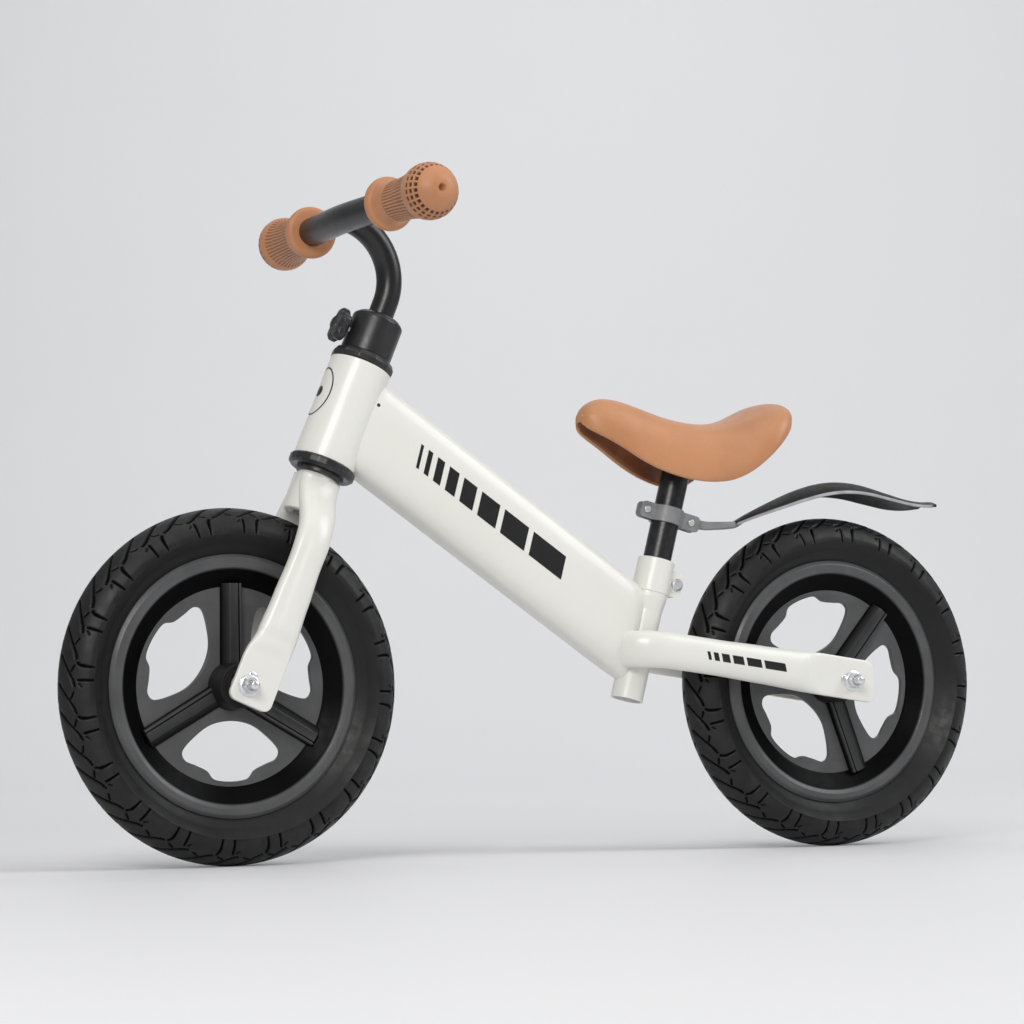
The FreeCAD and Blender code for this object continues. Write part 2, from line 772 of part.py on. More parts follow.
def grip(side, word):
    """A moulded grip: a flange at the inner end, a narrow waist, and a ball end that closes over the bar."""
    length = "grip_length"
    wall = "bar_radius + 0.02"
    ball_depth = "38"
    points = [
        ("0", f"{length}"),
        ("0", f"{length} - 5.6"),
        (wall, f"{length} - 5.6"),
        (wall, "0"),
        ("grip_flange_radius - 4", "0"),
        ("grip_flange_radius", "4", "4", 1),
        ("grip_flange_radius - 3.2", "9.5", "6.5", 1),
        ("grip_waist_radius", "27", "36", -1),
        ("grip_waist_radius + 1.5", f"{length} - {ball_depth} - 8", "120", -1),
        ("grip_ball_radius - 1.2", f"{length} - {ball_depth} + 8", "34", -1),
        ("grip_ball_radius", f"{length} - 21", "26", 1),
        ("9", f"{length}", "grip_ball_radius - 1", 1),
    ]
    inner = bar_point(side * size("grip_inner"))
    outer = bar_point(side * (size("grip_inner") + 50.0))
    heading = Rotation(Vector(0, 0, 1), (outer - inner).normalize())
    return turned("grip_" + word, points, Placement(inner, heading))


handle = handlebar()
stem(handle)
grip(1, "left")
grip(-1, "right")


# ---------------------------------------------------------------------------------------------------------
# Seat tube, clamp and post
# ---------------------------------------------------------------------------------------------------------

def seat_tube():
    """The upright tube behind the main tube, open at the bottom and flared at the top."""
    height = "seat_tube_height"
    points = [
        ("seat_tube_bore", "0"),
        ("seat_tube_radius", "0"),
        ("seat_tube_radius", f"{height} - 16"),
        ("seat_flare_radius", f"{height} - 4"),
        ("seat_flare_radius", height),
        ("seat_tube_bore", height),
    ]
    return turned("seat_tube", points, SEAT)


def seat_clamp():
    """The split collar on top of the seat tube with two ears at the back, and its cross bolt and nut."""
    base = size("seat_tube_height")
    height = size("seat_clamp_height")
    radius = size("seat_flare_radius") + 0.4
    reach = size("ear_reach")
    thick = size("ear_thickness")
    gap = size("ear_gap")
    collar = Part.makeCylinder(radius, height)
    rims = [edge for edge in collar.Edges if abs(edge.BoundBox.ZLength) < 0.01]
    collar = collar.makeFillet(1.2, rims)
    ears = Part.makeBox(reach - 4, gap + 2 * thick, height - 8, Vector(-reach, -gap / 2 - thick, 2))
    tips = [edge for edge in ears.Edges if edge.BoundBox.XMax < -reach + 0.1 and edge.BoundBox.YLength > 1]
    ears = ears.makeFillet(7.0, tips)
    shape = collar.fuse(ears)
    shape = shape.cut(Part.makeCylinder(size("seat_tube_bore"), height))
    shape = shape.cut(Part.makeBox(reach + 2, gap, height + 2, Vector(-reach - 2, -gap / 2, -1)))
    bolt_x = -size("seat_tube_bore") - 9.0
    middle = height / 2 - 2
    bolt_hole = Part.makeCylinder(size("clamp_bolt_radius"), 40, Vector(bolt_x, -20, middle), Vector(0, 1, 0))
    shape = one_solid(shape.cut(bolt_hole))
    solid_feature("seat_clamp", shape, along(SEAT, base))
    cross = turned_about(along(SEAT, base + middle, bolt_x), Vector(1, 0, 0), -90)
    span = gap + 2 * thick
    points = [
        ("0", "0"),
        ("clamp_bolt_radius", "0"),
        ("clamp_bolt_radius", f"{span} + 4"),
        ("clamp_bolt_radius + 2.7", f"{span} + 4"),
        ("clamp_bolt_radius + 2.7", f"{span} + 7"),
        ("clamp_bolt_radius + 1.6", f"{span} + 8.2"),
        ("0", f"{span} + 8.2"),
    ]
    turned("seat_clamp_bolt", points, along(cross, -span / 2 - 4))
    hex_nut("seat_clamp_nut", "4.6", "clamp_bolt_radius", "4", along(cross, -span / 2 - 4))


def seat_post():
    """The post that slides in the seat tube, with a capped top inside the saddle."""
    points = [
        ("seat_post_radius - 1.6", "0"),
        ("seat_post_radius", "0"),
        ("seat_post_radius", "seat_post_high - seat_post_low - 1"),
        ("seat_post_radius - 1", "seat_post_high - seat_post_low"),
        ("0", "seat_post_high - seat_post_low"),
        ("0", "seat_post_high - seat_post_low - 3"),
        ("seat_post_radius - 1.6", "seat_post_high - seat_post_low - 3"),
    ]
    return turned("seat_post", points, along(SEAT, size("seat_post_low")))


seat_tube()
seat_clamp()
seat_post()


# ---------------------------------------------------------------------------------------------------------
# Main tube and chain-stay yoke
# ---------------------------------------------------------------------------------------------------------

def stay_slope():
    """How much the stays fall for each millimetre towards the rear axle."""
    run = size("yoke_x") + size("wheel_base") / 2
    return (size("yoke_z") - 3.0 - size("wheel_radius") - 1.5) / run


def stay_centre(x, y):
    """A place on the stays' centre surface, which slopes down to the rear axle."""
    fall = max(size("yoke_x") - x, 0.0) * stay_slope()
    rise = max(x - size("yoke_x"), 0.0) * 0.06
    return Vector(x, y, size("yoke_z") - 3.0 - fall + rise)


def yoke():
    """The bend that joins the two stays, round the front of the seat tube."""
    radius = size("yoke_radius")
    stations = []
    for step in range(13):
        angle = math.radians(90 - 15 * step)
        centre = stay_centre(size("yoke_x") + radius * math.cos(angle), radius * math.sin(angle))
        out = Vector(math.cos(angle), math.sin(angle), 0)
        stations.append((centre, out, Vector(0, 0, 1), size("stay_thickness"), size("stay_height"), 2.3))
    return stations


def stay(side, word):
    """One oval stay from the yoke back past the tyre, flattened into a plate that holds the axle."""
    sides = Vector(0, side, 0)
    up = Vector(0, 0, 1)
    start = size("yoke_x")
    plate_centre = size("plate_inner") + size("plate_thickness") / 2
    stations = []
    for x, y, height in ((start, 34.0, 0.0), (start - 8, 34.2, 0.0), (start - 50, 36.0, 0.0),
                         (start - 95, 37.0, 2.0), (start - 135, 37.5, 4.5)):
        stations.append((stay_centre(x, side * y), sides, up,
                         size("stay_thickness"), size("stay_height") + height, 2.3))
    rings = [rounded_ring(*station) for station in stations]
    crease = start - 146
    rings.append(rounded_ring(stay_centre(crease, side * (plate_centre - 1.5)), sides, up,
                              size("stay_thickness") * 0.7, size("stay_plate_height") - 0.5, 3.0))
    rings.append(rounded_ring(stay_centre(crease - 9, side * plate_centre), sides, up,
                              size("plate_thickness"), size("stay_plate_height"), 8.0))
    tube = lofted(rings).cut(lofted(inside(stations[:-1])))
    first = stay_centre(crease - 6, 0)
    length = first.x - size("stay_end_x")
    plate = Part.makeBox(length, size("plate_thickness"), size("stay_plate_height"),
                         Vector(-length, -size("plate_thickness") / 2, -size("stay_plate_height") / 2))
    ends = [edge for edge in plate.Edges if edge.BoundBox.XMax < -length + 0.1 and edge.BoundBox.YLength > 1]
    plate = plate.makeFillet(9.0, ends)
    tilt = -math.degrees(math.atan(stay_slope()))
    plate.Placement = Placement(first + Vector(0, side * plate_centre, 0), Rotation(Vector(0, 1, 0), tilt))
    hole = Part.makeCylinder(size("axle_radius"), 60, REAR_AXLE.Base + Vector(0, side * 20, 0), sides)
    shape = one_solid(tube.fuse(plate).cut(hole))
    return solid_feature("chainstay_" + word, shape)


def down_tube(yoke_shape):
    """The deep main tube from the head tube to the seat tube, cut to fit both and the yoke."""
    slope = Rotation(Vector(0, 1, 0), -size("down_tube_tilt"))
    heading = slope.multVec(Vector(1, 0, 0))
    up = slope.multVec(Vector(0, 0, 1))
    middle = Vector(size("down_tube_x"), 0, size("down_tube_z"))
    stations = []
    for distance in (-340.0, -260.0, -160.0, -60.0, 40.0):
        stations.append((middle + heading * distance, Vector(0, 1, 0), up,
                         size("down_tube_width"), size("down_tube_depth"), 3.6))
    tube = lofted([rounded_ring(*station) for station in stations]).cut(lofted(inside(stations)))
    behind = Part.makeBox(120, 90, 320, Vector(-120, -45, -60))
    behind.Placement = SEAT
    ahead = Part.makeBox(120, 90, 240, Vector(0, -45, -100))
    ahead.Placement = STEER
    fill = Part.makeCylinder(size("seat_tube_radius"), 200, Vector(0, 0, -20))
    fill.Placement = SEAT
    flare = Part.makeCylinder(size("seat_flare_radius") + 0.5, 60, Vector(0, 0, size("seat_tube_height") - 16))
    flare.Placement = SEAT
    column = Part.makeCylinder(size("head_tube_radius"), 200, Vector(0, 0, -100))
    column.Placement = STEER
    for tool in (behind, ahead, fill, flare, column, yoke_shape):
        tube = tube.cut(tool)
    return solid_feature("down_tube", one_solid(tube))


def yoke_piece(stations):
    """The yoke as a solid of its own, cleared where the seat tube passes."""
    shape = lofted([rounded_ring(*station) for station in stations]).cut(lofted(inside(stations)))
    fill = Part.makeCylinder(size("seat_tube_radius"), 200, Vector(0, 0, -20))
    fill.Placement = SEAT
    return one_solid(shape.cut(fill))


bend_stations = yoke()
solid_feature("chainstay_yoke", yoke_piece(bend_stations))
for hand, word in ((1, "left"), (-1, "right")):
    stay(hand, word)
down_tube(lofted([rounded_ring(*station) for station in bend_stations]))


# ---------------------------------------------------------------------------------------------------------
# Mudguard
# ---------------------------------------------------------------------------------------------------------

def strap_half(side, word):
    """One half of the strap round the seat post: a bowed middle and two flat ears with rivet holes."""
    radius = size("seat_post_radius")
    thick = size("strap_thickness")
    height = size("strap_height")
    reach = size("strap_reach")
    parting = 3.2
    outer = Part.makeCylinder(radius + thick, height)
    plate = Part.makeBox(reach + size("strap_front_reach"), thick, height, Vector(-reach, parting, 0))
    tips = [edge for edge in plate.Edges if edge.BoundBox.YLength > 1]
    plate = plate.makeFillet(4.0, tips)
    shape = outer.fuse(plate).cut(Part.makeCylinder(radius, height))
    shape = shape.common(Part.makeBox(100, 40, height, Vector(-50, parting, 0)))
    for end in (-1, 1):
        spot = Vector(end * size("rivet_reach"), 0, height / 2)
        shape = shape.cut(Part.makeCylinder(2.0, 30, spot, Vector(0, 1, 0)))
    shape = one_solid(shape)
    if side < 0:
        shape = shape.mirror(Vector(0, 0, 0), Vector(0, 1, 0))
    base = size("strap_position") - height / 2
    return solid_feature("strap_" + word, Part.Solid(shape), along(SEAT, base))


def rivet(end, word):
    """A domed rivet through both ears of the strap."""
    grip_length = 2 * (3.2 + size("strap_thickness"))
    head = "rivet_radius"
    points = [
        ("0", "0"),
        (f"{head} - 1", "0"),
        (head, "1", "1", 1),
        (head, "2"),
        ("2", "2"),
        ("2", f"2 + {grip_length}"),
        (head, f"2 + {grip_length}"),
        (head, f"3 + {grip_length}"),
        (f"{head} - 1", f"4 + {grip_length}", "1", 1),
        ("0", f"4 + {grip_length}"),
    ]
    spot = along(SEAT, size("strap_position"), end * size("rivet_reach"))
    cross = turned_about(spot, Vector(1, 0, 0), -90)
    return turned("strap_rivet_" + word, points, along(cross, -grip_length / 2 - 2))


def guard_section(x, crown_z, half_width, arch):
    """One arched cross-section of the mudguard, as a closed outline of its own thickness."""
    thick = size("guard_thickness")
    top = [Vector(x, -half_width, crown_z - arch), Vector(x, 0, crown_z), Vector(x, half_width, crown_z - arch)]
    low = [point - Vector(0, 0, thick) for point in reversed(top)]
    edges = [
        Part.Arc(top[0], top[1], top[2]).toShape(),
        Part.makeLine(top[2], low[0]),
        Part.Arc(low[0], low[1], low[2]).toShape(),
        Part.makeLine(low[2], top[0]),
    ]
    return Part.Wire(edges)


def mudguard():
    """The S-shaped blade over the rear tyre, narrow at the strap and widest behind the axle."""
    wide = size("guard_half_width")
    sections = [
        (-196.0, 296.0, 8.0, 1.0),
        (-215.0, 304.5, 14.0, 3.5),
        (-239.0, 315.5, 19.5, 6.5),
        (-262.0, 325.0, 22.5, 8.5),
        (-285.0, 331.5, wide, 9.7),
        (-306.0, 333.8, wide, 10.0),
        (-328.0, 332.0, wide, 9.5),
        (-352.0, 326.0, wide, 8.0),
        (-376.0, 319.5, wide, 6.0),
        (-396.0, 317.0, wide - 1.0, 4.5),
        (-409.0, 317.0, wide - 4.0, 3.5),
    ]
    shape = Part.makeLoft([guard_section(*section) for section in sections], True, False)
    return solid_feature("mudguard_blade", Part.Solid(shape))


def guard_arm():
    """The short arm from the strap's rear rivet to the blade: an eye between the ears and a flat tongue."""
    eye = along(SEAT, size("strap_position"), -size("rivet_reach")).Base
    stations = [
        (eye + Vector(6.0, 0, 0.5), 5.4, 9.0),
        (eye + Vector(-3.0, 0, -0.2), 5.4, 9.0),
        (eye + Vector(-12.0, 0, -1.4), 5.4, 8.4),
        (eye + Vector(-19.0, 0, -2.2), 8.6, 7.8),
        (Vector(-176.0, 0, 291.4), 12.5, 7.4),
        (Vector(-190.0, 0, 292.0), 14.0, 6.8),
        (Vector(-203.0, 0, 295.4), 15.0, 5.0),
    ]
    rings = []
    for centre, width, height in stations:
        rings.append(rounded_ring(centre, Vector(0, 1, 0), Vector(0, 0, 1), width, height, 4.0))
    arm = lofted(rings)
    hole = Part.makeCylinder(2.05, 40, eye + Vector(0, -20, 0), Vector(0, 1, 0))
    return arm.cut(hole)


for hand, word in ((1, "left"), (-1, "right")):
    strap_half(hand, word)
rivet(1, "front")
rivet(-1, "rear")
blade_guard = mudguard()
solid_feature("mudguard_arm", one_solid(guard_arm().cut(world_shape(blade_guard))))


# ---------------------------------------------------------------------------------------------------------
# Saddle
# ---------------------------------------------------------------------------------------------------------

SADDLE = [
    # place along X, height of the top, height of the skirt's lower edge, half width
    (-41.0, 389.0, 378.0, 9.0),
    (-47.0, 397.0, 373.5, 16.0),
    (-58.0, 402.5, 368.0, 20.5),
    (-74.0, 402.3, 359.0, 24.0),
    (-92.0, 398.0, 347.5, 27.2),
    (-110.0, 392.0, 339.0, 31.0),
    (-128.0, 386.6, 333.0, 35.5),
    (-144.0, 383.5, 330.0, 40.5),
    (-160.0, 382.4, 329.0, 46.0),
    (-176.0, 384.0, 332.0, 52.0),
    (-192.0, 388.5, 341.0, 56.8),
    (-206.0, 394.5, 352.0, 58.5),
    (-220.0, 400.5, 364.5, 56.0),
    (-232.0, 403.0, 375.0, 48.0),
    (-241.0, 401.5, 384.0, 35.0),
    (-246.0, 397.0, 388.5, 20.0),
]


def saddle_section(x, top, low, half_width, inset):
    """A flat-bottomed arch across the saddle, drawn in by an inset."""
    half = half_width - inset
    crown = top - inset
    foot = low if inset == 0 else low - 0.5
    rise = crown - foot
    points = [
        Vector(x, -half * 0.93, foot),
        Vector(x, -half, foot + rise * 0.32),
        Vector(x, -half * 0.82, foot + rise * 0.72),
        Vector(x, -half * 0.42, crown - rise * 0.05),
        Vector(x, 0, crown),
        Vector(x, half * 0.42, crown - rise * 0.05),
        Vector(x, half * 0.82, foot + rise * 0.72),
        Vector(x, half, foot + rise * 0.32),
        Vector(x, half * 0.93, foot),
    ]
    curve = Part.BSplineCurve()
    curve.interpolate(points)
    return Part.Wire([curve.toShape(), Part.makeLine(points[-1], points[0])])


def saddle_cover():
    """The saddle's padded cover: an arch that dips in the middle, hollow underneath."""
    outer = Part.makeLoft([saddle_section(*row, 0) for row in SADDLE], True, False)
    skin = size("saddle_skin")
    hollow_rows = [(x, top - 9.0, low, half) for x, top, low, half in SADDLE[1:-1]]
    inner = Part.makeLoft([saddle_section(*row, skin) for row in hollow_rows], True, False)
    return outer.cut(inner)


def saddle_pan():
    """The stiff pan under the cover, with the socket that the post's top is pinned into."""
    skin = size("saddle_skin") + 1.6
    rows = [(x, top - 9.0, low, half) for x, top, low, half in SADDLE[2:-3]]
    block = Part.makeLoft([saddle_section(*row, skin) for row in rows], True, False)
    lower = [(x, top, low - 6.0, half) for x, top, low, half in rows]
    hollow = Part.makeLoft([saddle_section(*row, skin + 3.0) for row in lower], True, False)
    pan = block.cut(hollow)
    socket = Part.makeCylinder(size("seat_post_radius") + 4.0, 60, Vector(0, 0, 205))
    socket.Placement = SEAT
    pan = pan.fuse(socket.common(block))
    bore = Part.makeCylinder(size("seat_post_radius"), size("seat_post_high"), Vector(0, 0, 0))
    bore.Placement = SEAT
    return one_solid(pan.cut(bore))


cover_shape = saddle_cover()
solid_feature("saddle_cover", one_solid(cover_shape))
solid_feature("saddle_pan", saddle_pan())


# ---------------------------------------------------------------------------------------------------------
# Check and export
# ---------------------------------------------------------------------------------------------------------

doc.recompute()
for item in doc.Objects:
    for state in item.State:
        if state in ("Invalid", "Error"):
            raise RuntimeError(f"{item.Label} did not compute")
os.makedirs("parts", exist_ok=True)
for piece in SUB_PARTS:
    if piece.Shape.isNull() or not piece.Shape.isValid() or not piece.Shape.Solids:
        raise RuntimeError(f"{piece.Label} has no valid solid")
    piece.Shape.exportStep(f"parts/{piece.Label}.step")
print(len(SUB_PARTS), "sub-parts")
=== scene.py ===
"""The looks of a child's balance bike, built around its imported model.

Units are metres, in the model's own frame: +X forward, +Y to the rider's left, +Z up, ground at Z = 0.
Outlines are in millimetres.
"""
import json
import math

import bmesh
import bpy
import numpy as np
from mathutils.bvhtree import BVHTree
from mathutils import Matrix, Vector


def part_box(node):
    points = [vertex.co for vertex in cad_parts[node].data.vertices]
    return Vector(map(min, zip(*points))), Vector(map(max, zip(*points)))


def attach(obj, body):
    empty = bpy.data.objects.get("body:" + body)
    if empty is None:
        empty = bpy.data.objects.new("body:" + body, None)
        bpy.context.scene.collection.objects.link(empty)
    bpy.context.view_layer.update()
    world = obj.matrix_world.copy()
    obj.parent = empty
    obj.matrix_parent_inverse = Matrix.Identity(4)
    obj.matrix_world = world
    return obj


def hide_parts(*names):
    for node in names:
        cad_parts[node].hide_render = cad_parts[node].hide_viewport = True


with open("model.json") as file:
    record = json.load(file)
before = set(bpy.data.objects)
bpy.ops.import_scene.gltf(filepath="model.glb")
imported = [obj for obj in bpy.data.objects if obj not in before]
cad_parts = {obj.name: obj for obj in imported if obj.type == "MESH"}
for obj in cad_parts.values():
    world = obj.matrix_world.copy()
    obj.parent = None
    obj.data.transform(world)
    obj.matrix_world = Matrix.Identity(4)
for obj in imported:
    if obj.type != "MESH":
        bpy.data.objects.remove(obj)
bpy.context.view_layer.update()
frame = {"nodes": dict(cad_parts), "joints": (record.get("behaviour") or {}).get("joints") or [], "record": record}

NODES = frame["nodes"]
MM = 0.001


# ---- Places worked out from the frame ----

def box_middle(node):
    """The middle of a node's box."""
    low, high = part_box(node)
    return (Vector(low) + Vector(high)) / 2


def joint_named(name):
    """A joint's record by name."""
    for joint in frame["joints"]:
        if joint["name"] == name:
            return joint
    raise ValueError(name)


def frame_along(origin, axis, forward):
    """A matrix whose Z runs along an axis and whose X is as near to a forward direction as it can be."""
    up = Vector(axis).normalized()
    side = up.cross(Vector(forward)).normalized()
    ahead = side.cross(up).normalized()
    matrix = Matrix((ahead, side, up)).transposed().to_4x4()
    matrix.translation = Vector(origin)
    return matrix


def wheel_frame(hub):
    """A wheel's own frame: its Z points to the left of the bike, its Y up, its X to the rear."""
    matrix = Matrix(((-1, 0, 0), (0, 0, 1), (0, 1, 0))).to_4x4()
    matrix.translation = hub
    return matrix


def ahead_at(angle):
    """Straight ahead, tilted up by an angle."""
    return Vector((math.cos(angle), 0, math.sin(angle)))


def up_at(angle):
    """Straight up, leaned back by an angle."""
    return Vector((-math.sin(angle), 0, math.cos(angle)))


FRONT_HUB = box_middle("front_axle")
REAR_HUB = box_middle("rear_axle")
TYRE_R = (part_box("front_tyre")[1][2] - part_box("front_tyre")[0][2]) / 2 / MM
STEER_AXIS = Vector(joint_named("steer")["axis"]).normalized()
STEER = frame_along(joint_named("steer")["pos_m"], STEER_AXIS, (1, 0, 0))
TUBE_MIDDLE = Vector((163.1, 0, 367.3))
TUBE_TILT = math.radians(34.7)
SEAT_FOOT = Vector((-84.0, 0, 135.3))
SEAT_LEAN = math.radians(15.0)
YOKE_X = -107.0
YOKE_Z = 178.5
STAY_SLOPE = 0.1446


# ---- Materials ----

class Look:
    """A node material in the making, named after its slot."""

    def __init__(self, slot, colour, rough, metal=0.0):
        self.slot = slot
        self.mat = bpy.data.materials.new(slot)
        self.mat.use_nodes = True
        self.tree = self.mat.node_tree
        self.shader = self.tree.nodes["Principled BSDF"]
        self.mat.diffuse_color = (*colour, 1.0)
        self.set("Base Color", (*colour, 1.0))
        self.set("Roughness", rough)
        self.set("Metallic", metal)
        self.place = self.tree.nodes.new("ShaderNodeTexCoord").outputs["Object"]
        self.last_bump = None

    def set(self, socket, value):
        """Give one of the shader's sockets a constant, or join it to an output."""
        self.feed(self.shader.inputs[socket], value)

    def feed(self, socket, value):
        """Give any socket a constant, or join it to an output."""
        if isinstance(value, bpy.types.NodeSocket):
            self.tree.links.new(value, socket)
        else:
            socket.default_value = value

    def noise(self, scale, detail, rough=0.55, stretch=None, distortion=0.0):
        """Fractal noise of a size, drawn out along axes if a stretch is given."""
        node = self.tree.nodes.new("ShaderNodeTexNoise")
        node.inputs["Scale"].default_value = scale
        node.inputs["Detail"].default_value = detail
        node.inputs["Roughness"].default_value = rough
        node.inputs["Distortion"].default_value = distortion
        self.tree.links.new(self.stretched(stretch), node.inputs["Vector"])
        return node.outputs["Fac"]

    def cells(self, scale, feature="F1"):
        """A cell pattern: the distance to the nearest cell's middle, or another feature."""
        node = self.tree.nodes.new("ShaderNodeTexVoronoi")
        node.feature = feature
        node.inputs["Scale"].default_value = scale
        self.tree.links.new(self.place, node.inputs["Vector"])
        return node.outputs["Distance"]

    def stretched(self, stretch):
        """The place, scaled along the axes."""
        if stretch is None:
            return self.place
        node = self.tree.nodes.new("ShaderNodeMapping")
        node.inputs["Scale"].default_value = stretch
        self.tree.links.new(self.place, node.inputs["Vector"])
        return node.outputs["Vector"]

    def attribute(self, name):
        """A number stored on the mesh."""
        node = self.tree.nodes.new("ShaderNodeAttribute")
        node.attribute_name = name
        return node.outputs["Fac"]

    def ramp(self, value, low, high, out_low=0.0, out_high=1.0):
        """A value's range moved to another range, and held inside it."""
        node = self.tree.nodes.new("ShaderNodeMapRange")
        node.interpolation_type = "SMOOTHSTEP"
        self.feed(node.inputs["Value"], value)
        node.inputs["From Min"].default_value = low
        node.inputs["From Max"].default_value = high
        node.inputs["To Min"].default_value = out_low
        node.inputs["To Max"].default_value = out_high
        return node.outputs["Result"]

    def cloud(self, scale, detail, low=0.3, high=0.7, out_low=0.0, out_high=1.0):
        """Noise whose middle range is moved to another range."""
        return self.ramp(self.noise(scale, detail), low, high, out_low, out_high)

    def combine(self, how, first, second):
        """Two values joined by a sum, product, or the like."""
        node = self.tree.nodes.new("ShaderNodeMath")
        node.operation = how
        self.feed(node.inputs[0], first)
        self.feed(node.inputs[1], second)
        return node.outputs["Value"]

    def times(self, first, second):
        """The product of two values."""
        return self.combine("MULTIPLY", first, second)

    def mix(self, amount, first, second):
        """Two colours mixed."""
        node = self.tree.nodes.new("ShaderNodeMix")
        node.data_type = "RGBA"
        self.feed(node.inputs["Factor"], amount)
        for socket, value in ((node.inputs["A"], first), (node.inputs["B"], second)):
            if isinstance(value, tuple):
                value = (*value, 1.0)
            self.feed(socket, value)
        return node.outputs["Result"]

    def two_tone(self, scale, detail, first, second, low=0.3, high=0.7):
        """Two colours mixed in clouds."""
        return self.mix(self.cloud(scale, detail, low, high), first, second)

    def roughness(self, scale, low, high, detail=5.0):
        """A roughness that wanders between two values."""
        self.set("Roughness", self.cloud(scale, detail, 0.3, 0.75, low, high))

    def edges(self, low, high):
        """Where the surface turns outward sharply, for worn edges."""
        node = self.tree.nodes.new("ShaderNodeNewGeometry")
        return self.ramp(node.outputs["Pointiness"], low, high)

    def bump(self, height, distance, strength):
        """A bump of a height field over a depth in metres, on top of any bump before it."""
        node = self.tree.nodes.new("ShaderNodeBump")
        node.inputs["Strength"].default_value = strength
        node.inputs["Distance"].default_value = distance
        self.feed(node.inputs["Height"], height)
        if self.last_bump is not None:
            self.tree.links.new(self.last_bump, node.inputs["Normal"])
        self.last_bump = node.outputs["Normal"]
        self.set("Normal", self.last_bump)


def shade(colour, factor):
    """A colour made lighter or darker."""
    return tuple(min(part * factor, 1.0) for part in colour)


def cream_paint():
    """Thick ivory enamel: a gloss coat with faint orange peel, and a little handling wear."""
    ivory = (0.80, 0.795, 0.745)
    look = Look("cream_paint", ivory, 0.34)
    tone = look.two_tone(9.0, 3.0, shade(ivory, 1.01), (0.786, 0.780, 0.724), low=0.35)
    worn = look.times(look.edges(0.53, 0.60), look.cloud(160.0, 5.0, 0.5, 0.68))
    look.set("Base Color", look.mix(look.times(worn, 0.08), tone, (0.68, 0.67, 0.61)))
    look.roughness(45.0, 0.32, 0.44)
    look.set("Coat Weight", 0.3)
    look.set("Coat Roughness", 0.14)
    look.bump(look.noise(420.0, 2.0), 0.00022, 0.35)
    look.bump(look.noise(2400.0, 2.0), 0.00004, 0.35)
    return look


def black_paint():
    """Gloss black enamel on tube, with fine swirls in its roughness."""
    black = (0.006, 0.006, 0.0068)
    look = Look("black_paint", black, 0.22)
    worn = look.times(look.edges(0.54, 0.62), look.cloud(220.0, 5.0, 0.48, 0.62))
    look.set("Base Color", look.mix(look.times(worn, 0.4), black, (0.035, 0.035, 0.037)))
    swirls = look.noise(70.0, 6.0, 0.7, (1.0, 1.0, 6.0), 0.6)
    look.set("Roughness", look.ramp(swirls, 0.3, 0.8, 0.30, 0.40))
    look.set("Coat Weight", 0.12)
    look.set("Coat Roughness", 0.12)
    look.bump(look.noise(520.0, 2.0), 0.00016, 0.35)
    look.bump(look.noise(2600.0, 2.0), 0.00003, 0.3)
    return look


def zinc_steel():
    """Bright zinc plate with fine brushing and dulled patches."""
    look = Look("zinc_steel", (0.82, 0.83, 0.85), 0.32, 0.9)
    look.set("Base Color", look.two_tone(240.0, 3.0, (0.86, 0.87, 0.89), (0.72, 0.73, 0.75), low=0.35))
    look.roughness(500.0, 0.27, 0.42, detail=4.0)
    look.bump(look.noise(1500.0, 2.0, 0.5, (1.0, 1.0, 6.0)), 0.00001, 0.4)
    return look


def dark_plastic():
    """Satin charcoal nylon with a fine moulded grain and lighter rubbed edges."""
    grey = (0.020, 0.020, 0.0213)
    look = Look("dark_plastic", grey, 0.36)
    rubbed = look.times(look.edges(0.52, 0.60), look.cloud(300.0, 4.0, 0.3, 0.6))
    tone = look.two_tone(60.0, 4.0, grey, (0.015, 0.015, 0.0165))
    look.set("Base Color", look.mix(look.times(rubbed, 0.6), tone, (0.075, 0.075, 0.078)))
    look.roughness(240.0, 0.28, 0.38)
    look.bump(look.cells(1300.0), 0.00007, 0.45)
    look.bump(look.noise(2600.0, 3.0), 0.00004, 0.35)
    return look


def rim_plastic():
    """Black satin moulding with a greyer lip, painted shade down in the barrel and on the spoke flanks, and a fine
    grain.
    """
    grey = (0.078, 0.0785, 0.080)
    look = Look("rim_plastic", grey, 0.36)
    tone = look.two_tone(28.0, 5.0, shade(grey, 1.12), shade(grey, 0.86))
    scuffs = look.ramp(look.noise(900.0, 3.0, 0.6), 0.60, 0.74, 0.0, 0.12)
    scuffed = look.mix(scuffs, tone, (0.13, 0.13, 0.135))
    # Painted shade: the deep mask turns the barrel, the spoke flanks and the spokes' fine lines nearly black. Its
    # lower values on the spoke tops and the hub are their own darker tone.
    look.set("Base Color", look.mix(look.attribute("deep"), scuffed, (0.0022, 0.0022, 0.0025)))
    look.roughness(150.0, 0.28, 0.40)
    # Painted shade also takes the reflection out of these places.
    look.set("Specular IOR Level", look.ramp(look.attribute("deep"), 0.0, 1.0, 0.44, 0.05))
    look.bump(look.cells(1100.0), 0.00005, 0.3)
    look.bump(look.noise(2300.0, 3.0), 0.00003, 0.3)
    return look


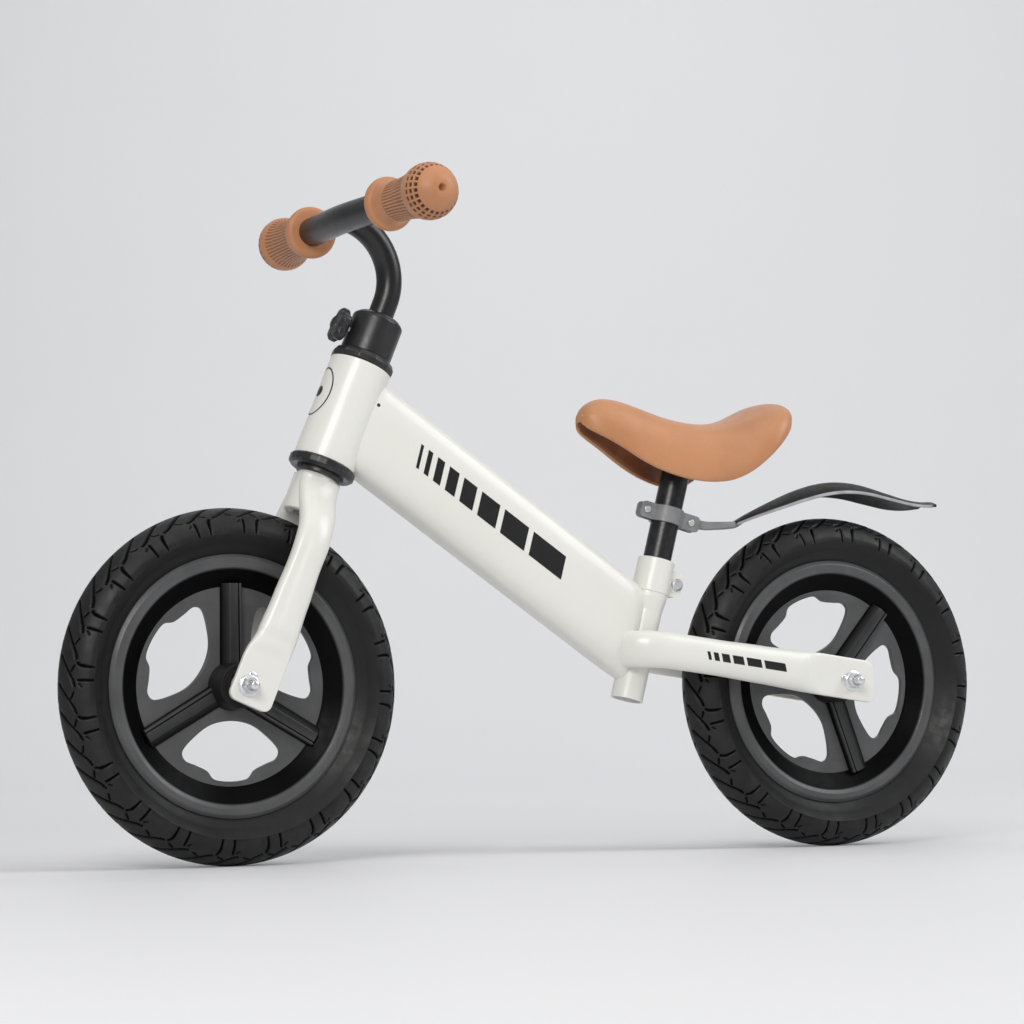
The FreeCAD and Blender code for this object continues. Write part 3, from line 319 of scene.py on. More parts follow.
def tyre_rubber():
    """Foam rubber: dusty lugs, grooves turned black by painted shade, and a smoother satin side wall."""
    look = Look("tyre_foam", (0.007, 0.007, 0.0073), 0.5)
    dust = look.ramp(look.noise(55.0, 6.0, 0.65), 0.42, 0.72)
    lugs = look.mix(dust, (0.0115, 0.0115, 0.0118), (0.0200, 0.0197, 0.0190))
    sides = look.mix(look.attribute("sidewall"), lugs, (0.0078, 0.0078, 0.0081))
    # Painted shade: the groove mask darkens the cut tread grooves almost to black.
    look.set("Base Color", look.mix(look.attribute("groove_shade"), sides, (0.0006, 0.0006, 0.0006)))
    rough = look.cloud(130.0, 5.0, 0.3, 0.75, 0.40, 0.54)
    smoother = look.times(look.attribute("sidewall"), 0.05)
    look.set("Roughness", look.combine("SUBTRACT", rough, smoother))
    # Painted shade also takes most of the reflection out of the grooves.
    look.set("Specular IOR Level", look.ramp(look.attribute("groove_shade"), 0.0, 1.0, 0.30, 0.04))
    look.bump(look.cells(900.0), 0.00008, 0.3)
    look.bump(look.noise(1800.0, 4.0), 0.00006, 0.35)
    return look


def tan_leather():
    """Smooth caramel synthetic leather with a fine pebble grain, with painted shade in its hollows."""
    tan = (0.545, 0.250, 0.116)
    look = Look("tan_leather", tan, 0.42)
    tone = look.two_tone(14.0, 4.0, shade(tan, 1.06), (0.490, 0.216, 0.096), high=0.72)
    pebbles = look.cells(640.0, "DISTANCE_TO_EDGE")
    # Painted shade: the hollows between the pebbles are darkened.
    crease_shade = look.ramp(pebbles, 0.0, 0.10, 1.0, 0.0)
    look.set("Base Color", look.mix(look.times(crease_shade, 0.22), tone, (0.36, 0.15, 0.062)))
    look.roughness(90.0, 0.31, 0.43)
    look.set("Sheen Weight", 0.06)
    look.set("Sheen Roughness", 0.45)
    look.bump(look.ramp(pebbles, 0.0, 0.22), 0.00012, 0.45)
    look.bump(look.noise(1500.0, 4.0), 0.00006, 0.4)
    look.bump(look.noise(34.0, 3.0), 0.0005, 0.25)
    return look


def tan_rubber():
    """Soft caramel rubber of the grips, with painted shade in its moulded pits and ribs."""
    tan = (0.515, 0.225, 0.100)
    look = Look("tan_rubber", tan, 0.5)
    tone = look.two_tone(32.0, 4.0, shade(tan, 1.06), shade(tan, 0.88))
    # Painted shade: the pit mask darkens the pits and the valleys between the ribs.
    look.set("Base Color", look.mix(look.attribute("pit"), tone, (0.040, 0.012, 0.004)))
    look.roughness(160.0, 0.42, 0.58)
    look.set("Sheen Weight", 0.1)
    look.bump(look.cells(1500.0), 0.00006, 0.4)
    look.bump(look.noise(2600.0, 3.0), 0.00004, 0.35)
    return look


def brown_plastic():
    """The dark brown moulding under the saddle, grained and flatly lit."""
    brown = (0.27, 0.090, 0.034)
    look = Look("brown_plastic", brown, 0.55)
    look.set("Base Color", look.two_tone(40.0, 5.0, shade(brown, 1.2), shade(brown, 0.75)))
    look.set("Roughness", look.cloud(200.0, 4.0, out_low=0.48, out_high=0.66))
    look.bump(look.noise(1300.0, 4.0), 0.00010, 0.5)
    return look


def grey_plastic():
    """Light grey moulding of the strap, with faint drawn lines."""
    grey = (0.24, 0.243, 0.247)
    look = Look("grey_plastic", grey, 0.42)
    look.set("Base Color", look.two_tone(70.0, 5.0, shade(grey, 1.1), shade(grey, 0.84)))
    look.roughness(320.0, 0.34, 0.52)
    look.bump(look.noise(700.0, 4.0, 0.6, (0.3, 1.0, 3.0)), 0.00007, 0.4)
    look.bump(look.noise(2200.0, 3.0), 0.00004, 0.3)
    return look


def guard_plastic():
    """The mudguard's dark top skin over a light grey edge; the same dark is painted on the underside as shade."""
    look = Look("guard_plastic", (0.05, 0.049, 0.047), 0.42)
    dark = look.two_tone(50.0, 5.0, (0.016, 0.0157, 0.0153), (0.010, 0.0098, 0.0095))
    light = look.two_tone(80.0, 5.0, (0.44, 0.44, 0.45), (0.32, 0.32, 0.33))
    # Painted shade: the dark tone also covers the underside, away from the light edge.
    look.set("Base Color", look.mix(look.attribute("light_edge"), dark, light))
    look.set("Specular IOR Level", 0.14)
    look.roughness(180.0, 0.34, 0.50)
    look.bump(look.cells(1000.0), 0.00008, 0.4)
    look.bump(look.noise(2400.0, 3.0), 0.00004, 0.35)
    return look


def floor_look():
    """Plain pale studio floor with the faintest mottling."""
    pale = (0.80, 0.80, 0.812)
    look = Look("studio_floor", pale, 0.55)
    look.set("Base Color", look.two_tone(0.8, 3.0, pale, (0.788, 0.788, 0.80)))
    look.set("Specular IOR Level", 0.25)
    return look


CREAM = cream_paint()
BLACK = black_paint()
ZINC = zinc_steel()
CHARCOAL = dark_plastic()
RIM = rim_plastic()
RUBBER = tyre_rubber()
LEATHER = tan_leather()
GRIP = tan_rubber()
BROWN = brown_plastic()
GREY = grey_plastic()
GUARD = guard_plastic()


# ---- Lines ----

def smooth_step(value, low, high):
    """Nought below low, one above high, and a smooth rise between."""
    share = np.clip((value - low) / (high - low), 0, 1)
    return share * share * (3 - 2 * share)


def signed_power(value, power):
    """A value's size raised to a power, with its sign kept."""
    return math.copysign(abs(value) ** power, value)


def table_value(table, place):
    """A value read from a short table of (place, value), eased between its rows."""
    for (low, first), (high, second) in zip(table[:-1], table[1:]):
        if place <= high:
            share = min(max((place - low) / (high - low), 0.0), 1.0)
            return first + (second - first) * share * share * (3 - 2 * share)
    return table[-1][1]


def arc_between(first, last, radius, turn, count):
    """Points on an arc between two points in a plane, the first left out. Turn is 1 for anticlockwise."""
    first = np.array(first, float)
    last = np.array(last, float)
    chord = last - first
    length = np.linalg.norm(chord)
    left = np.array((-chord[1], chord[0])) / length * turn
    centre = (first + last) / 2 + left * math.sqrt(max(radius ** 2 - length ** 2 / 4, 0.0))
    start = math.atan2(*(first - centre)[::-1])
    end = math.atan2(*(last - centre)[::-1])
    sweep = (end - start) * turn % (2 * math.pi) * turn
    return [tuple(centre + radius * np.array((math.cos(start + sweep * step / count),
                                              math.sin(start + sweep * step / count))))
            for step in range(1, count + 1)]


def rounded_line(points, closed=False, steps=5):
    """A line with its corners rounded: each point is (across, along, corner radius)."""
    line = []
    count = len(points)
    for index, (across, along, radius) in enumerate(points):
        here = np.array((across, along), float)
        if radius <= 0 or (not closed and index in (0, count - 1)):
            line.append(tuple(here))
            continue
        before = np.array(points[index - 1][:2], float) - here
        after = np.array(points[(index + 1) % count][:2], float) - here
        reach_before = np.linalg.norm(before)
        reach_after = np.linalg.norm(after)
        half = math.acos(np.clip(before @ after / (reach_before * reach_after), -1, 1)) / 2
        cut = min(radius / math.tan(half), reach_before * 0.48, reach_after * 0.48)
        start = here + before / reach_before * cut
        end = here + after / reach_after * cut
        for step in range(steps + 1):
            share = step / steps
            line.append(tuple(start * (1 - share) ** 2 + here * 2 * share * (1 - share) + end * share ** 2))
    return line


def both_sides(side):
    """A half outline of (radius, along) points, led by its mirror image across the middle."""
    return [(radius, -along) for radius, along in reversed(side)] + side


def lengths_along(line):
    """The distance run along a line at each of its points."""
    return np.concatenate(((0,), np.cumsum(np.linalg.norm(np.diff(line, axis=0), axis=1))))


def spline_point(a, b, c, d, share):
    """A point on the smooth line between b and c, which comes from a and goes on to d."""
    return 0.5 * ((2 * b) + (c - a) * share + (2 * a - 5 * b + 4 * c - d) * share ** 2
                  + (3 * b - a - 3 * c + d) * share ** 3)


def curve_through(points, samples):
    """A smooth line through points, evenly sampled by share of its length."""
    points = np.array(points, float)
    padded = np.vstack((2 * points[0] - points[1], points, 2 * points[-1] - points[-2]))
    dense = []
    for index in range(len(points) - 1):
        for share in np.linspace(0, 1, 24, endpoint=False):
            dense.append(spline_point(*padded[index:index + 4], share))
    dense.append(points[-1])
    dense = np.array(dense)
    lengths = lengths_along(dense)
    wanted = np.linspace(0, lengths[-1], samples)
    return np.stack([np.interp(wanted, lengths, dense[:, axis]) for axis in range(points.shape[1])], axis=1)


def smooth_loop(points, count):
    """A smooth closed line through points."""
    loop = np.array(points, float)
    total = len(loop)
    dense = []
    for index in range(total):
        near = [loop[(index + offset) % total] for offset in (-1, 0, 1, 2)]
        for share in np.linspace(0, 1, count // total, endpoint=False):
            dense.append(spline_point(*near, share))
    return np.array(dense)


def distance_to_line(across, along, line):
    """The distance from grid places to a run of straight lines."""
    best = np.full(across.shape, 1e9)
    for start, end in zip(line[:-1], line[1:]):
        run = np.array(end, float) - np.array(start, float)
        share = ((across - start[0]) * run[0] + (along - start[1]) * run[1]) / (run @ run)
        share = np.clip(share, 0, 1)
        gap = np.hypot(across - start[0] - share * run[0], along - start[1] - share * run[1])
        best = np.minimum(best, gap)
    return best


# ---- Meshes ----

def grid_faces(rows, columns, wrap_rows=False, wrap_columns=True):
    """The faces of a grid of points, joined round one way or both."""
    faces = []
    for row in range(rows if wrap_rows else rows - 1):
        below = row * columns
        above = ((row + 1) % rows) * columns
        for column in range(columns if wrap_columns else columns - 1):
            after = (column + 1) % columns
            faces.append((below + column, below + after, above + after, above + column))
    return faces


def mesh_object(name, points, faces, look, place=None, values=None):
    """A smooth-shaded mesh in the scene. Values are numbers stored on its points by name."""
    mesh = bpy.data.meshes.new(name)
    mesh.from_pydata([tuple(point) for point in points], [], [tuple(face) for face in faces])
    mesh.validate()
    if place is not None:
        mesh.transform(place)
    mesh.polygons.foreach_set("use_smooth", [True] * len(mesh.polygons))
    for key, numbers in (values or {}).items():
        layer = mesh.attributes.new(key, "FLOAT", "POINT")
        layer.data.foreach_set("value", np.asarray(numbers, dtype=np.float32))
    mesh.materials.append(look.mat)
    mesh.update()
    piece = bpy.data.objects.new(name, mesh)
    bpy.context.scene.collection.objects.link(piece)
    return piece


def outward(mesh):
    """Turn every face of a closed mesh to face outward."""
    work = bmesh.new()
    work.from_mesh(mesh)
    bmesh.ops.recalc_face_normals(work, faces=work.faces)
    work.to_mesh(mesh)
    work.free()


def new_piece(name, points, faces, look, body, place=None, replaces=(), values=None, solid=True):
    """A mesh piece that rides on a body, with its faces turned outward if it is a solid."""
    piece = mesh_object(name, points, faces, look, place, values)
    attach(piece, body)
    if replaces:
        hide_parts(*replaces)
    if solid:
        outward(piece.data)
    return piece


def ring_piece(name, rings, look, body, place=None, replaces=(), values=None):
    """A solid from rings of points in millimetres, each joined to the next, and closed at both ends."""
    rows = len(rings)
    columns = len(rings[0])
    points = [np.array(point) * MM for ring in rings for point in ring]
    faces = grid_faces(rows, columns)
    faces.append(tuple(range(columns))[::-1])
    faces.append(tuple(range((rows - 1) * columns, rows * columns)))
    return new_piece(name, points, faces, look, body, place, replaces, values)


def turned(radius, along, angles):
    """Rings of points about Z, from a radius and a distance along for every point."""
    return np.stack(np.broadcast_arrays(radius * np.cos(angles), radius * np.sin(angles), along), axis=-1)


def lathe(name, line, look, body, place, segments, wave=None, replaces=(), values=None):
    """A turned ring from a closed line of (radius, along) points in millimetres.

    A wave changes the radius by angle and place. Values are numbers by name, one for each of the line's points.
    """
    line = np.array(line)
    angles = np.linspace(0, 2 * np.pi, segments, endpoint=False)[None, :]
    radius = np.repeat(line[:, :1], segments, axis=1)
    along = np.repeat(line[:, 1:], segments, axis=1)
    if wave is not None:
        radius = radius + wave(angles, radius, along)
    points = turned(radius, along, angles).reshape(-1, 3) * MM
    faces = grid_faces(len(line), segments, wrap_rows=True)
    repeated = {key: np.repeat(numbers, segments) for key, numbers in (values or {}).items()}
    return new_piece(name, points, faces, look, body, place, replaces, repeated)


def add_bevel(piece, width, segments, angle):
    """Round a piece's sharp edges."""
    bevel = piece.modifiers.new("edge_round", "BEVEL")
    bevel.width = width
    bevel.segments = segments
    bevel.limit_method = "ANGLE"
    bevel.angle_limit = math.radians(angle)


def sharp_shading(piece, angle):
    """Keep hard edges crisp on a smooth-shaded piece."""
    work = bmesh.new()
    work.from_mesh(piece.data)
    for edge in work.edges:
        if len(edge.link_faces) == 2 and edge.calc_face_angle(0.0) > math.radians(angle):
            edge.smooth = False
    work.to_mesh(piece.data)
    work.free()


# ---- Tyres ----

TREAD_CELLS = 20
TREAD_STEPS = 34
TYRE_SEGMENTS = 1200


def tread_depth(around, across):
    """How deep the tread is cut at a place round the tyre and across from its middle."""
    pitch = 2 * math.pi * TYRE_R / TREAD_CELLS
    half = pitch / 2
    out = np.abs(across)
    shifted = around + np.where(across < 0, half / 2, 0.0)
    crown = curve_through([(1.5, 18.6), (6.0, 17.2), (13.0, 12.6), (20.0, 7.4), (27.0, 1.4)], 12)
    cuts = [(crown, 2.1, 2.0, half),
            ([(-9.4, 15.2), (-4.6, 17.6)], 1.6, 1.3, half),
            ([(6.6, 38.0), (6.2, 22.5)], 2.1, 1.9, pitch),
            ([(18.4, 38.0), (19.4, 23.0), (21.2, 20.6)], 2.1, 1.9, pitch),
            ([(3.0, 22.8), (0.6, 24.8)], 1.4, 1.0, pitch)]
    depth = np.zeros(around.shape)
    for line, width, deep, period in cuts:
        for turn in (-1, 0, 1):
            place = np.mod(shifted, period) + turn * period
            gap = distance_to_line(place, out, line) - width / 2
            depth = np.maximum(depth, deep * (1 - smooth_step(gap, -0.2, 0.45)))
    return depth


def tyre_line():
    """The tyre's outline as (radius, along) points, from one bead over the crown to the other."""
    crown = (TYRE_R, 0.0)
    shoulder = (131.1, 23.6)
    tread = arc_between(crown, shoulder, 27.5, 1, TREAD_STEPS)
    wall = rounded_line([(*shoulder, 0), (127.1, 23.7, 1.1), (119.0, 16.6, 30.0), (111.6, 11.2, 0)], steps=7)
    bead = [(110.6, 10.6), (107.0, 8.0), (105.2, 5.0), (105.0, 2.0)]
    side = tread + wall[1:] + bead
    return np.array(both_sides(side)[:len(side)] + [crown] + side)


def tyre(name, hub, body, node):
    """A foam tyre with a cut tread that ends in a faint scallop, and plain side walls."""
    line = tyre_line()
    middle = len(line) // 2
    lengths = lengths_along(line)
    across = (lengths - lengths[middle])[:, None]
    out = np.abs(across)
    slope = np.gradient(line, lengths, axis=0)
    normal = np.stack((slope[:, 1], -slope[:, 0]), axis=1)
    normal /= np.linalg.norm(normal, axis=1)[:, None]
    angles = np.linspace(0, 2 * np.pi, TYRE_SEGMENTS, endpoint=False)[None, :]
    grid = (len(line), TYRE_SEGMENTS)
    depth = tread_depth(np.broadcast_to(angles * TYRE_R, grid), np.broadcast_to(across, grid))
    tread_end = lengths[middle + TREAD_STEPS] - lengths[middle] + 3.4
    depth = depth * (1 - smooth_step(out, tread_end - 0.4, tread_end + 0.6))
    scallop = 0.35 * (0.5 + 0.5 * np.cos(angles * TREAD_CELLS))
    depth = depth + scallop * np.exp(-((out - tread_end) / 2.2) ** 2)
    radius = line[:, :1] - normal[:, :1] * depth
    along = line[:, 1:] - normal[:, 1:] * depth
    wall = np.broadcast_to(smooth_step(out, tread_end + 0.2, tread_end + 1.6), grid)
    # The groove mask carries painted shade into the cut tread.
    groove_shade = np.clip(depth / 1.1, 0, 1) * (1 - wall)
    new_piece(name, turned(radius, along, math.pi - angles).reshape(-1, 3) * MM,
              grid_faces(*grid, wrap_rows=True), RUBBER, body, wheel_frame(hub), [node],
              {"groove_shade": groove_shade.ravel(), "sidewall": wall.ravel()})


# ---- Rims ----

WINDOW = [(0, 29.0), (17.5, 32.0), (31.5, 41.0), (43.0, 53.0), (41.0, 61.5), (31.0, 66.0), (21.5, 70.5),
          (15.0, 77.5), (0, 79.5)]


def rim_barrel(name, hub, body, node):
    """The rim's lip and barrel as one ring: a rolled bead outside and a deep cone down to the disc."""
    side = rounded_line([
        (84.5, 1.6, 0), (83.4, 2.6, 0.8), (85.4, 3.4, 1.2), (97.6, 10.6, 2.0), (99.6, 12.6, 1.6),
        (103.0, 13.9, 2.5), (107.2, 13.6, 3.0), (110.4, 11.4, 1.2), (110.9, 9.8, 0.8), (106.0, 6.0, 0),
    ], steps=6)
    line = np.array(both_sides(side))
    # The deep mask paints shade into the barrel below the lip.
    lathe(name, line, RIM, body, wheel_frame(hub), 256, replaces=[node],
          values={"deep": 1 - smooth_step(line[:, 0], 98.4, 99.8)})


def disc_outlines(first_spoke):
    """The disc's closed outlines: its rim, its middle hole and a window between each two spokes."""
    angles = np.linspace(0, 2 * np.pi, 192, endpoint=False)
    circle = np.stack((np.cos(angles), np.sin(angles)), axis=1)
    outlines = [84.0 * circle, 10.0 * circle[::4][::-1]]
    window = smooth_loop(WINDOW + [(-across, out) for across, out in reversed(WINDOW[1:-1])], 160)
    centre = window.mean(axis=0)
    grow = 1 + 0.75 / np.linalg.norm(window - centre, axis=1)
    window = centre + (window - centre) * grow[:, None]
    for index in range(3):
        turn = math.radians(first_spoke + 60 + 120 * index)
        sine = math.sin(turn)
        cosine = math.cos(turn)
        rotated = [(out * cosine + across * sine, out * sine - across * cosine) for across, out in window]
        outlines.append(rotated[::-1])
    return outlines


def filled_mesh(name, outlines, half_thick, rounding):
    """A flat plate with holes and rounded edges, from closed outlines."""
    curve = bpy.data.curves.new(name, "CURVE")
    curve.dimensions = "2D"
    curve.fill_mode = "BOTH"
    curve.extrude = half_thick * MM
    curve.bevel_depth = rounding * MM
    curve.bevel_resolution = 3
    for outline in outlines:
        spline = curve.splines.new("POLY")
        spline.points.add(len(outline) - 1)
        for knot, (x, y) in zip(spline.points, outline):
            knot.co = (x * MM, y * MM, 0, 1)
        spline.use_cyclic_u = True
    carrier = bpy.data.objects.new(name, curve)
    bpy.context.scene.collection.objects.link(carrier)
    bpy.context.view_layer.update()
    graph = bpy.context.evaluated_depsgraph_get()
    flat = bpy.data.meshes.new_from_object(carrier.evaluated_get(graph))
    bpy.data.objects.remove(carrier)
    work = bmesh.new()
    work.from_mesh(flat)
    bmesh.ops.remove_doubles(work, verts=work.verts, dist=0.00001)
    work.to_mesh(flat)
    work.free()
    return flat


def rim_disc(name, hub, body, first_spoke):
    """The thin disc with its three openings, each edge rounded."""
    flat = filled_mesh(name + "_flat", disc_outlines(first_spoke), 1.75, 0.75)
    points = [vertex.co.copy() for vertex in flat.vertices]
    faces = [tuple(face.vertices) for face in flat.polygons]
    piece = new_piece(name, points, faces, RIM, body, wheel_frame(hub))
    sharp_shading(piece, 40.0)


def rim_spoke(name, hub, body, angle):
    """One raised spoke: a wide top with two fine lines along it, and a steep flank on each side, the flanks and
    lines darkened by painted shade.
    """
    # Each point of the section is its place across, its height, and how much painted shade it carries.
    section = [(-10.0, 1.5, 1.0), (-9.4, 6.2, 0.9), (-8.6, 8.2, 0.25), (-7.9, 8.75, 0.0), (-6.6, 8.75, 0.1),
               (-6.2, 8.1, 1.0), (-5.4, 8.1, 1.0), (-5.0, 8.75, 0.1), (1.6, 8.75, 0.35), (2.4, 8.6, 0.2),
               (3.1, 7.9, 0.5), (8.8, 4.6, 0.95), (10.0, 1.5, 1.0)]
    section += [(across, -height, tone) for across, height, tone in reversed(section)]
    widths = [(13.0, 1.0), (20.0, 1.0), (45.0, 0.985), (72.0, 0.965), (86.5, 0.955)]
    rings = [[(out, across * width, height) for across, height, tone in section] for out, width in widths]
    # Painted shade on the flanks and lines; 0.35 is the spoke's own darker tone.
    deep = [0.35 + 0.65 * tone for across, height, tone in section] * len(widths)
    turn = Matrix.Rotation(math.radians(angle), 4, "Z")
    piece = ring_piece(name, rings, RIM, body, wheel_frame(hub) @ turn, values={"deep": deep})
    add_bevel(piece, 0.35 * MM, 2, 20.0)


def rim_hub(name, hub, body):
    """The hub boss with its stepped noses."""
    side = rounded_line([
        (20.5, 2.2, 1.0), (19.2, 12.0, 3.0), (18.8, 24.8, 1.2), (17.2, 26.2, 1.0), (14.2, 26.6, 0.8),
        (13.9, 30.9, 0.8), (11.2, 30.9, 0.3), (11.2, 26.0, 0),
    ][::-1], steps=5)
    line = side + [(radius, -along) for radius, along in reversed(side)]
    lathe(name, line, RIM, body, wheel_frame(hub), 96, values={"deep": np.full(len(line), 0.8)})


def wheel(prefix, hub, first_spoke):
    """One wheel: tyre, rim barrel, disc, spokes and hub. First spoke is its angle as seen from the left."""
    body = prefix + "_wheel"
    tyre(prefix + "_tyre_skin", hub, body, prefix + "_tyre")
    rim_barrel(prefix + "_rim_barrel", hub, body, prefix + "_rim")
    rim_disc(prefix + "_rim_disc", hub, body, first_spoke)
    rim_hub(prefix + "_rim_hub", hub, body)
    for index in range(3):
        rim_spoke(f"{prefix}_rim_spoke_{index + 1}", hub, body, first_spoke + 120 * index)


wheel("front", FRONT_HUB, 90.0)
wheel("rear", REAR_HUB, 50.0)


# ---- Grips ----

def grip_line():
    """The grip's outline as (radius, along), in millimetres, from its inner end to its outer end."""
    length = 98.0
    line = rounded_line([(12.9, 0.0, 0), (19.2, 0.0, 1.0), (19.3, 0.05, 0)], steps=3)
    line += arc_between(line[-1], (23.1, 4.2), 4.1, 1, 8)
    line += arc_between(line[-1], (20.0, 9.6), 6.5, 1, 8)
    line += arc_between(line[-1], (18.0, 27.0), 40.0, -1, 34)
    line += arc_between(line[-1], (19.5, length - 46.0), 120.0, -1, 60)
    line += arc_between(line[-1], (22.7, length - 30.0), 36.0, -1, 44)
    line += arc_between(line[-1], (23.9, length - 21.0), 26.0, 1, 20)
    line += arc_between(line[-1], (8.0, length - 0.2), 23.0, 1, 64)
    line += rounded_line([(8.0, length - 0.2, 0), (3.6, length, 1.0), (2.9, length - 1.5, 0.6),
                          (2.4, length - 6.0, 0)], steps=4)[1:]
    return line


def grip_relief(angle, place):
    """The depth cut into the grip and how dark its painted shade is: long ribs on the waist and three rings of
    square pits.
    """
    ribs = 42
    wave = np.abs(np.mod(angle * ribs / (2 * np.pi), 1.0) - 0.5) * 2
    stretch = smooth_step(place, 23.0, 25.5) * (1 - smooth_step(place, 66.0, 68.0))
    valley = smooth_step(wave, 0.36, 0.70) * stretch
    notch = 0.5 + 0.5 * np.cos(place * 2 * np.pi / 4.1)
    pits = 26
    share = np.abs(np.mod(angle * pits / (2 * np.pi), 1.0) - 0.5) * 2
    rings = np.zeros(place.shape)
    for centre in (78.6, 83.4, 88.0):
        rings = np.maximum(rings, 1 - smooth_step(np.abs(place - centre), 1.35, 1.7))
    pit = smooth_step(share, 0.36, 0.48) * rings
    depth = np.maximum((0.62 + 0.18 * notch) * valley, 1.4 * pit)
    # Painted shade: the second value darkens the rib valleys and the pits.
    return depth, np.maximum((0.42 + 0.2 * notch) * valley, pit)


def grip(side, word):
    """A moulded grip, closed over the bar's end with a small dimple."""
    line = np.array(grip_line())
    segments = 336
    first_outer_point = 7
    inner_y = 80.0
    bend_y = 12.0
    bar_radius = 12.7
    sweep = math.radians(3.5)
    angles = np.linspace(0, 2 * np.pi, segments, endpoint=False)[None, :]
    along = np.repeat(line[:, 1:], segments, axis=1)
    depth, dark = grip_relief(angles, along)
    outer = np.arange(len(line))[:, None] >= first_outer_point
    rings = turned(line[:, :1] - depth * outer, along, angles)
    low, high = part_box("handlebar_tube")
    bar_x = high[0] - bar_radius * MM
    inner_x = bar_x - (inner_y - bend_y) * MM * math.tan(sweep)
    inner = Vector((inner_x, side * inner_y * MM, (low[2] + high[2]) / 2))
    place = frame_along(inner, (-math.sin(sweep), side * math.cos(sweep), 0), (0, 0, 1))
    # The pit values are painted shade for the grip's pits and rib valleys.
    ring_piece("grip_rubber_" + word, rings, GRIP, "handlebar", place, ["grip_" + word],
               {"pit": (dark * outer).ravel()})


grip(1, "left")
grip(-1, "right")


# ---- Saddle ----

SADDLE_TOP = [(-40.6, 385.5), (-43.5, 393.0), (-49.0, 398.8), (-58.0, 402.6), (-68.0, 403.2), (-82.0, 400.8),
              (-100.0, 395.4), (-120.0, 389.0), (-140.0, 384.7), (-158.0, 383.0), (-174.0, 384.4),
              (-190.0, 388.8), (-205.0, 395.2), (-219.0, 401.2), (-231.0, 403.6), (-239.0, 402.0),
              (-244.0, 397.6), (-245.8, 391.5)]
# Each row is a place along the bike, the height of the saddle's foot, and its half width.
SADDLE_SIDE = [(-40.6, 381.5, 5.0), (-43.5, 377.6, 11.5), (-49.0, 373.4, 16.5), (-58.0, 368.4, 20.4),
               (-72.0, 360.6, 23.6), (-92.0, 348.2, 27.2), (-110.0, 339.2, 31.0), (-128.0, 333.0, 35.4),
               (-144.0, 329.8, 40.4), (-158.0, 329.0, 45.4), (-172.0, 331.0, 50.6), (-187.0, 338.0, 55.6),
               (-202.0, 349.2, 58.4), (-216.0, 361.6, 57.2), (-228.0, 372.6, 51.0), (-237.0, 380.4, 41.0),
               (-243.0, 385.6, 28.0), (-245.8, 388.6, 14.0)]
SADDLE_ROWS = 132
EDGE_DROP = 5.5


def read_rows(table, column, x):
    """Smooth values along the bike from one column of a table whose rows start with their place."""
    line = curve_through([(row[0], row[column]) for row in table], 400)
    return np.interp(-x, -line[:, 0], line[:, 1])


def saddle_outside(width, height, base):
    """The skin's outer face across the saddle, from one hanging edge over the top to the other."""
    line = []
    for angle in np.radians(np.linspace(-104, 104, 66)):
        up = signed_power(math.cos(angle), 0.98) * height
        if math.cos(angle) < 0:
            up = -EDGE_DROP * (math.cos(angle) / math.cos(math.radians(104)))
        line.append((signed_power(math.sin(angle), 0.86) * width, base + up))
    return line


def saddle_arch(width, rise, base, sweep):
    """An arch across the saddle's hollow, from one side to the other."""
    return [(signed_power(math.sin(angle), 0.8) * max(width, 0.3), base + math.cos(angle) * max(rise, 0.3))
            for angle in np.radians(np.linspace(sweep, -sweep, 29))]


def saddle_rings(width, height, base):
    """One cross-section of the saddle: the skin, whose edge is rolled under, and the liner in its hollow."""
    thick = min(4.2, width * 0.45, height * 0.3)
    outside = saddle_outside(width, height, base)
    edge, low = outside[-1]
    rolled = []
    for step in range(1, 6):
        turn = math.pi * step / 6
        rolled.append((edge - thick * 0.5 * (1 - math.cos(turn)), low - 0.9 * math.sin(turn)))
    clear = max(width - thick - 1.0, 0.5)
    rise = max(base + height - thick - 8.0 - low, 0.4)
    inside = saddle_arch(clear, rise, low + 1.5, 84)
    liner = saddle_arch(clear - 0.35, rise + 0.85, low + 0.3, 89)
    liner += saddle_arch(clear - 1.7, rise - 0.5, low + 0.3, -89)
    return outside + rolled + inside + [(-across, up) for across, up in reversed(rolled)], liner


def saddle():
    """The padded saddle, a smooth arch that dips in the middle, and the brown liner under it."""
    share = np.linspace(0, 1, SADDLE_ROWS)
    spread = (0.5 - 0.5 * np.cos(share * np.pi)) * 0.6 + share * 0.4
    places = -40.8 + spread * (-245.7 + 40.8)
    top = read_rows(SADDLE_TOP, 1, places)
    base = read_rows(SADDLE_SIDE, 1, places) + EDGE_DROP
    half = read_rows(SADDLE_SIDE, 2, places)
    skins = []
    liners = []
    for x, width, height, low in zip(places, half, np.maximum(top - base, 2.0), base):
        skin, liner = saddle_rings(width, height, low)
        skins.append([(x, across, up) for across, up in skin])
        liners.append([(x, across, up) for across, up in liner])
    piece = ring_piece("saddle_skin", skins, LEATHER, "seat", replaces=["saddle_cover"])
    ring_piece("saddle_liner", liners[5:-5], BROWN, "seat", replaces=["saddle_pan"])


saddle()


# ---- Headset, collar and knob ----

def faceted(count, deep):
    """A wave that gives a ring flat facets."""
    def wave(angle, radius, along):
        sector = 2 * np.pi / count
        local = np.mod(angle, sector) - sector / 2
        flat = math.cos(sector / 2) / np.cos(local)
        return (radius * (flat - 1)) * deep * (radius > 24.0)
    return wave


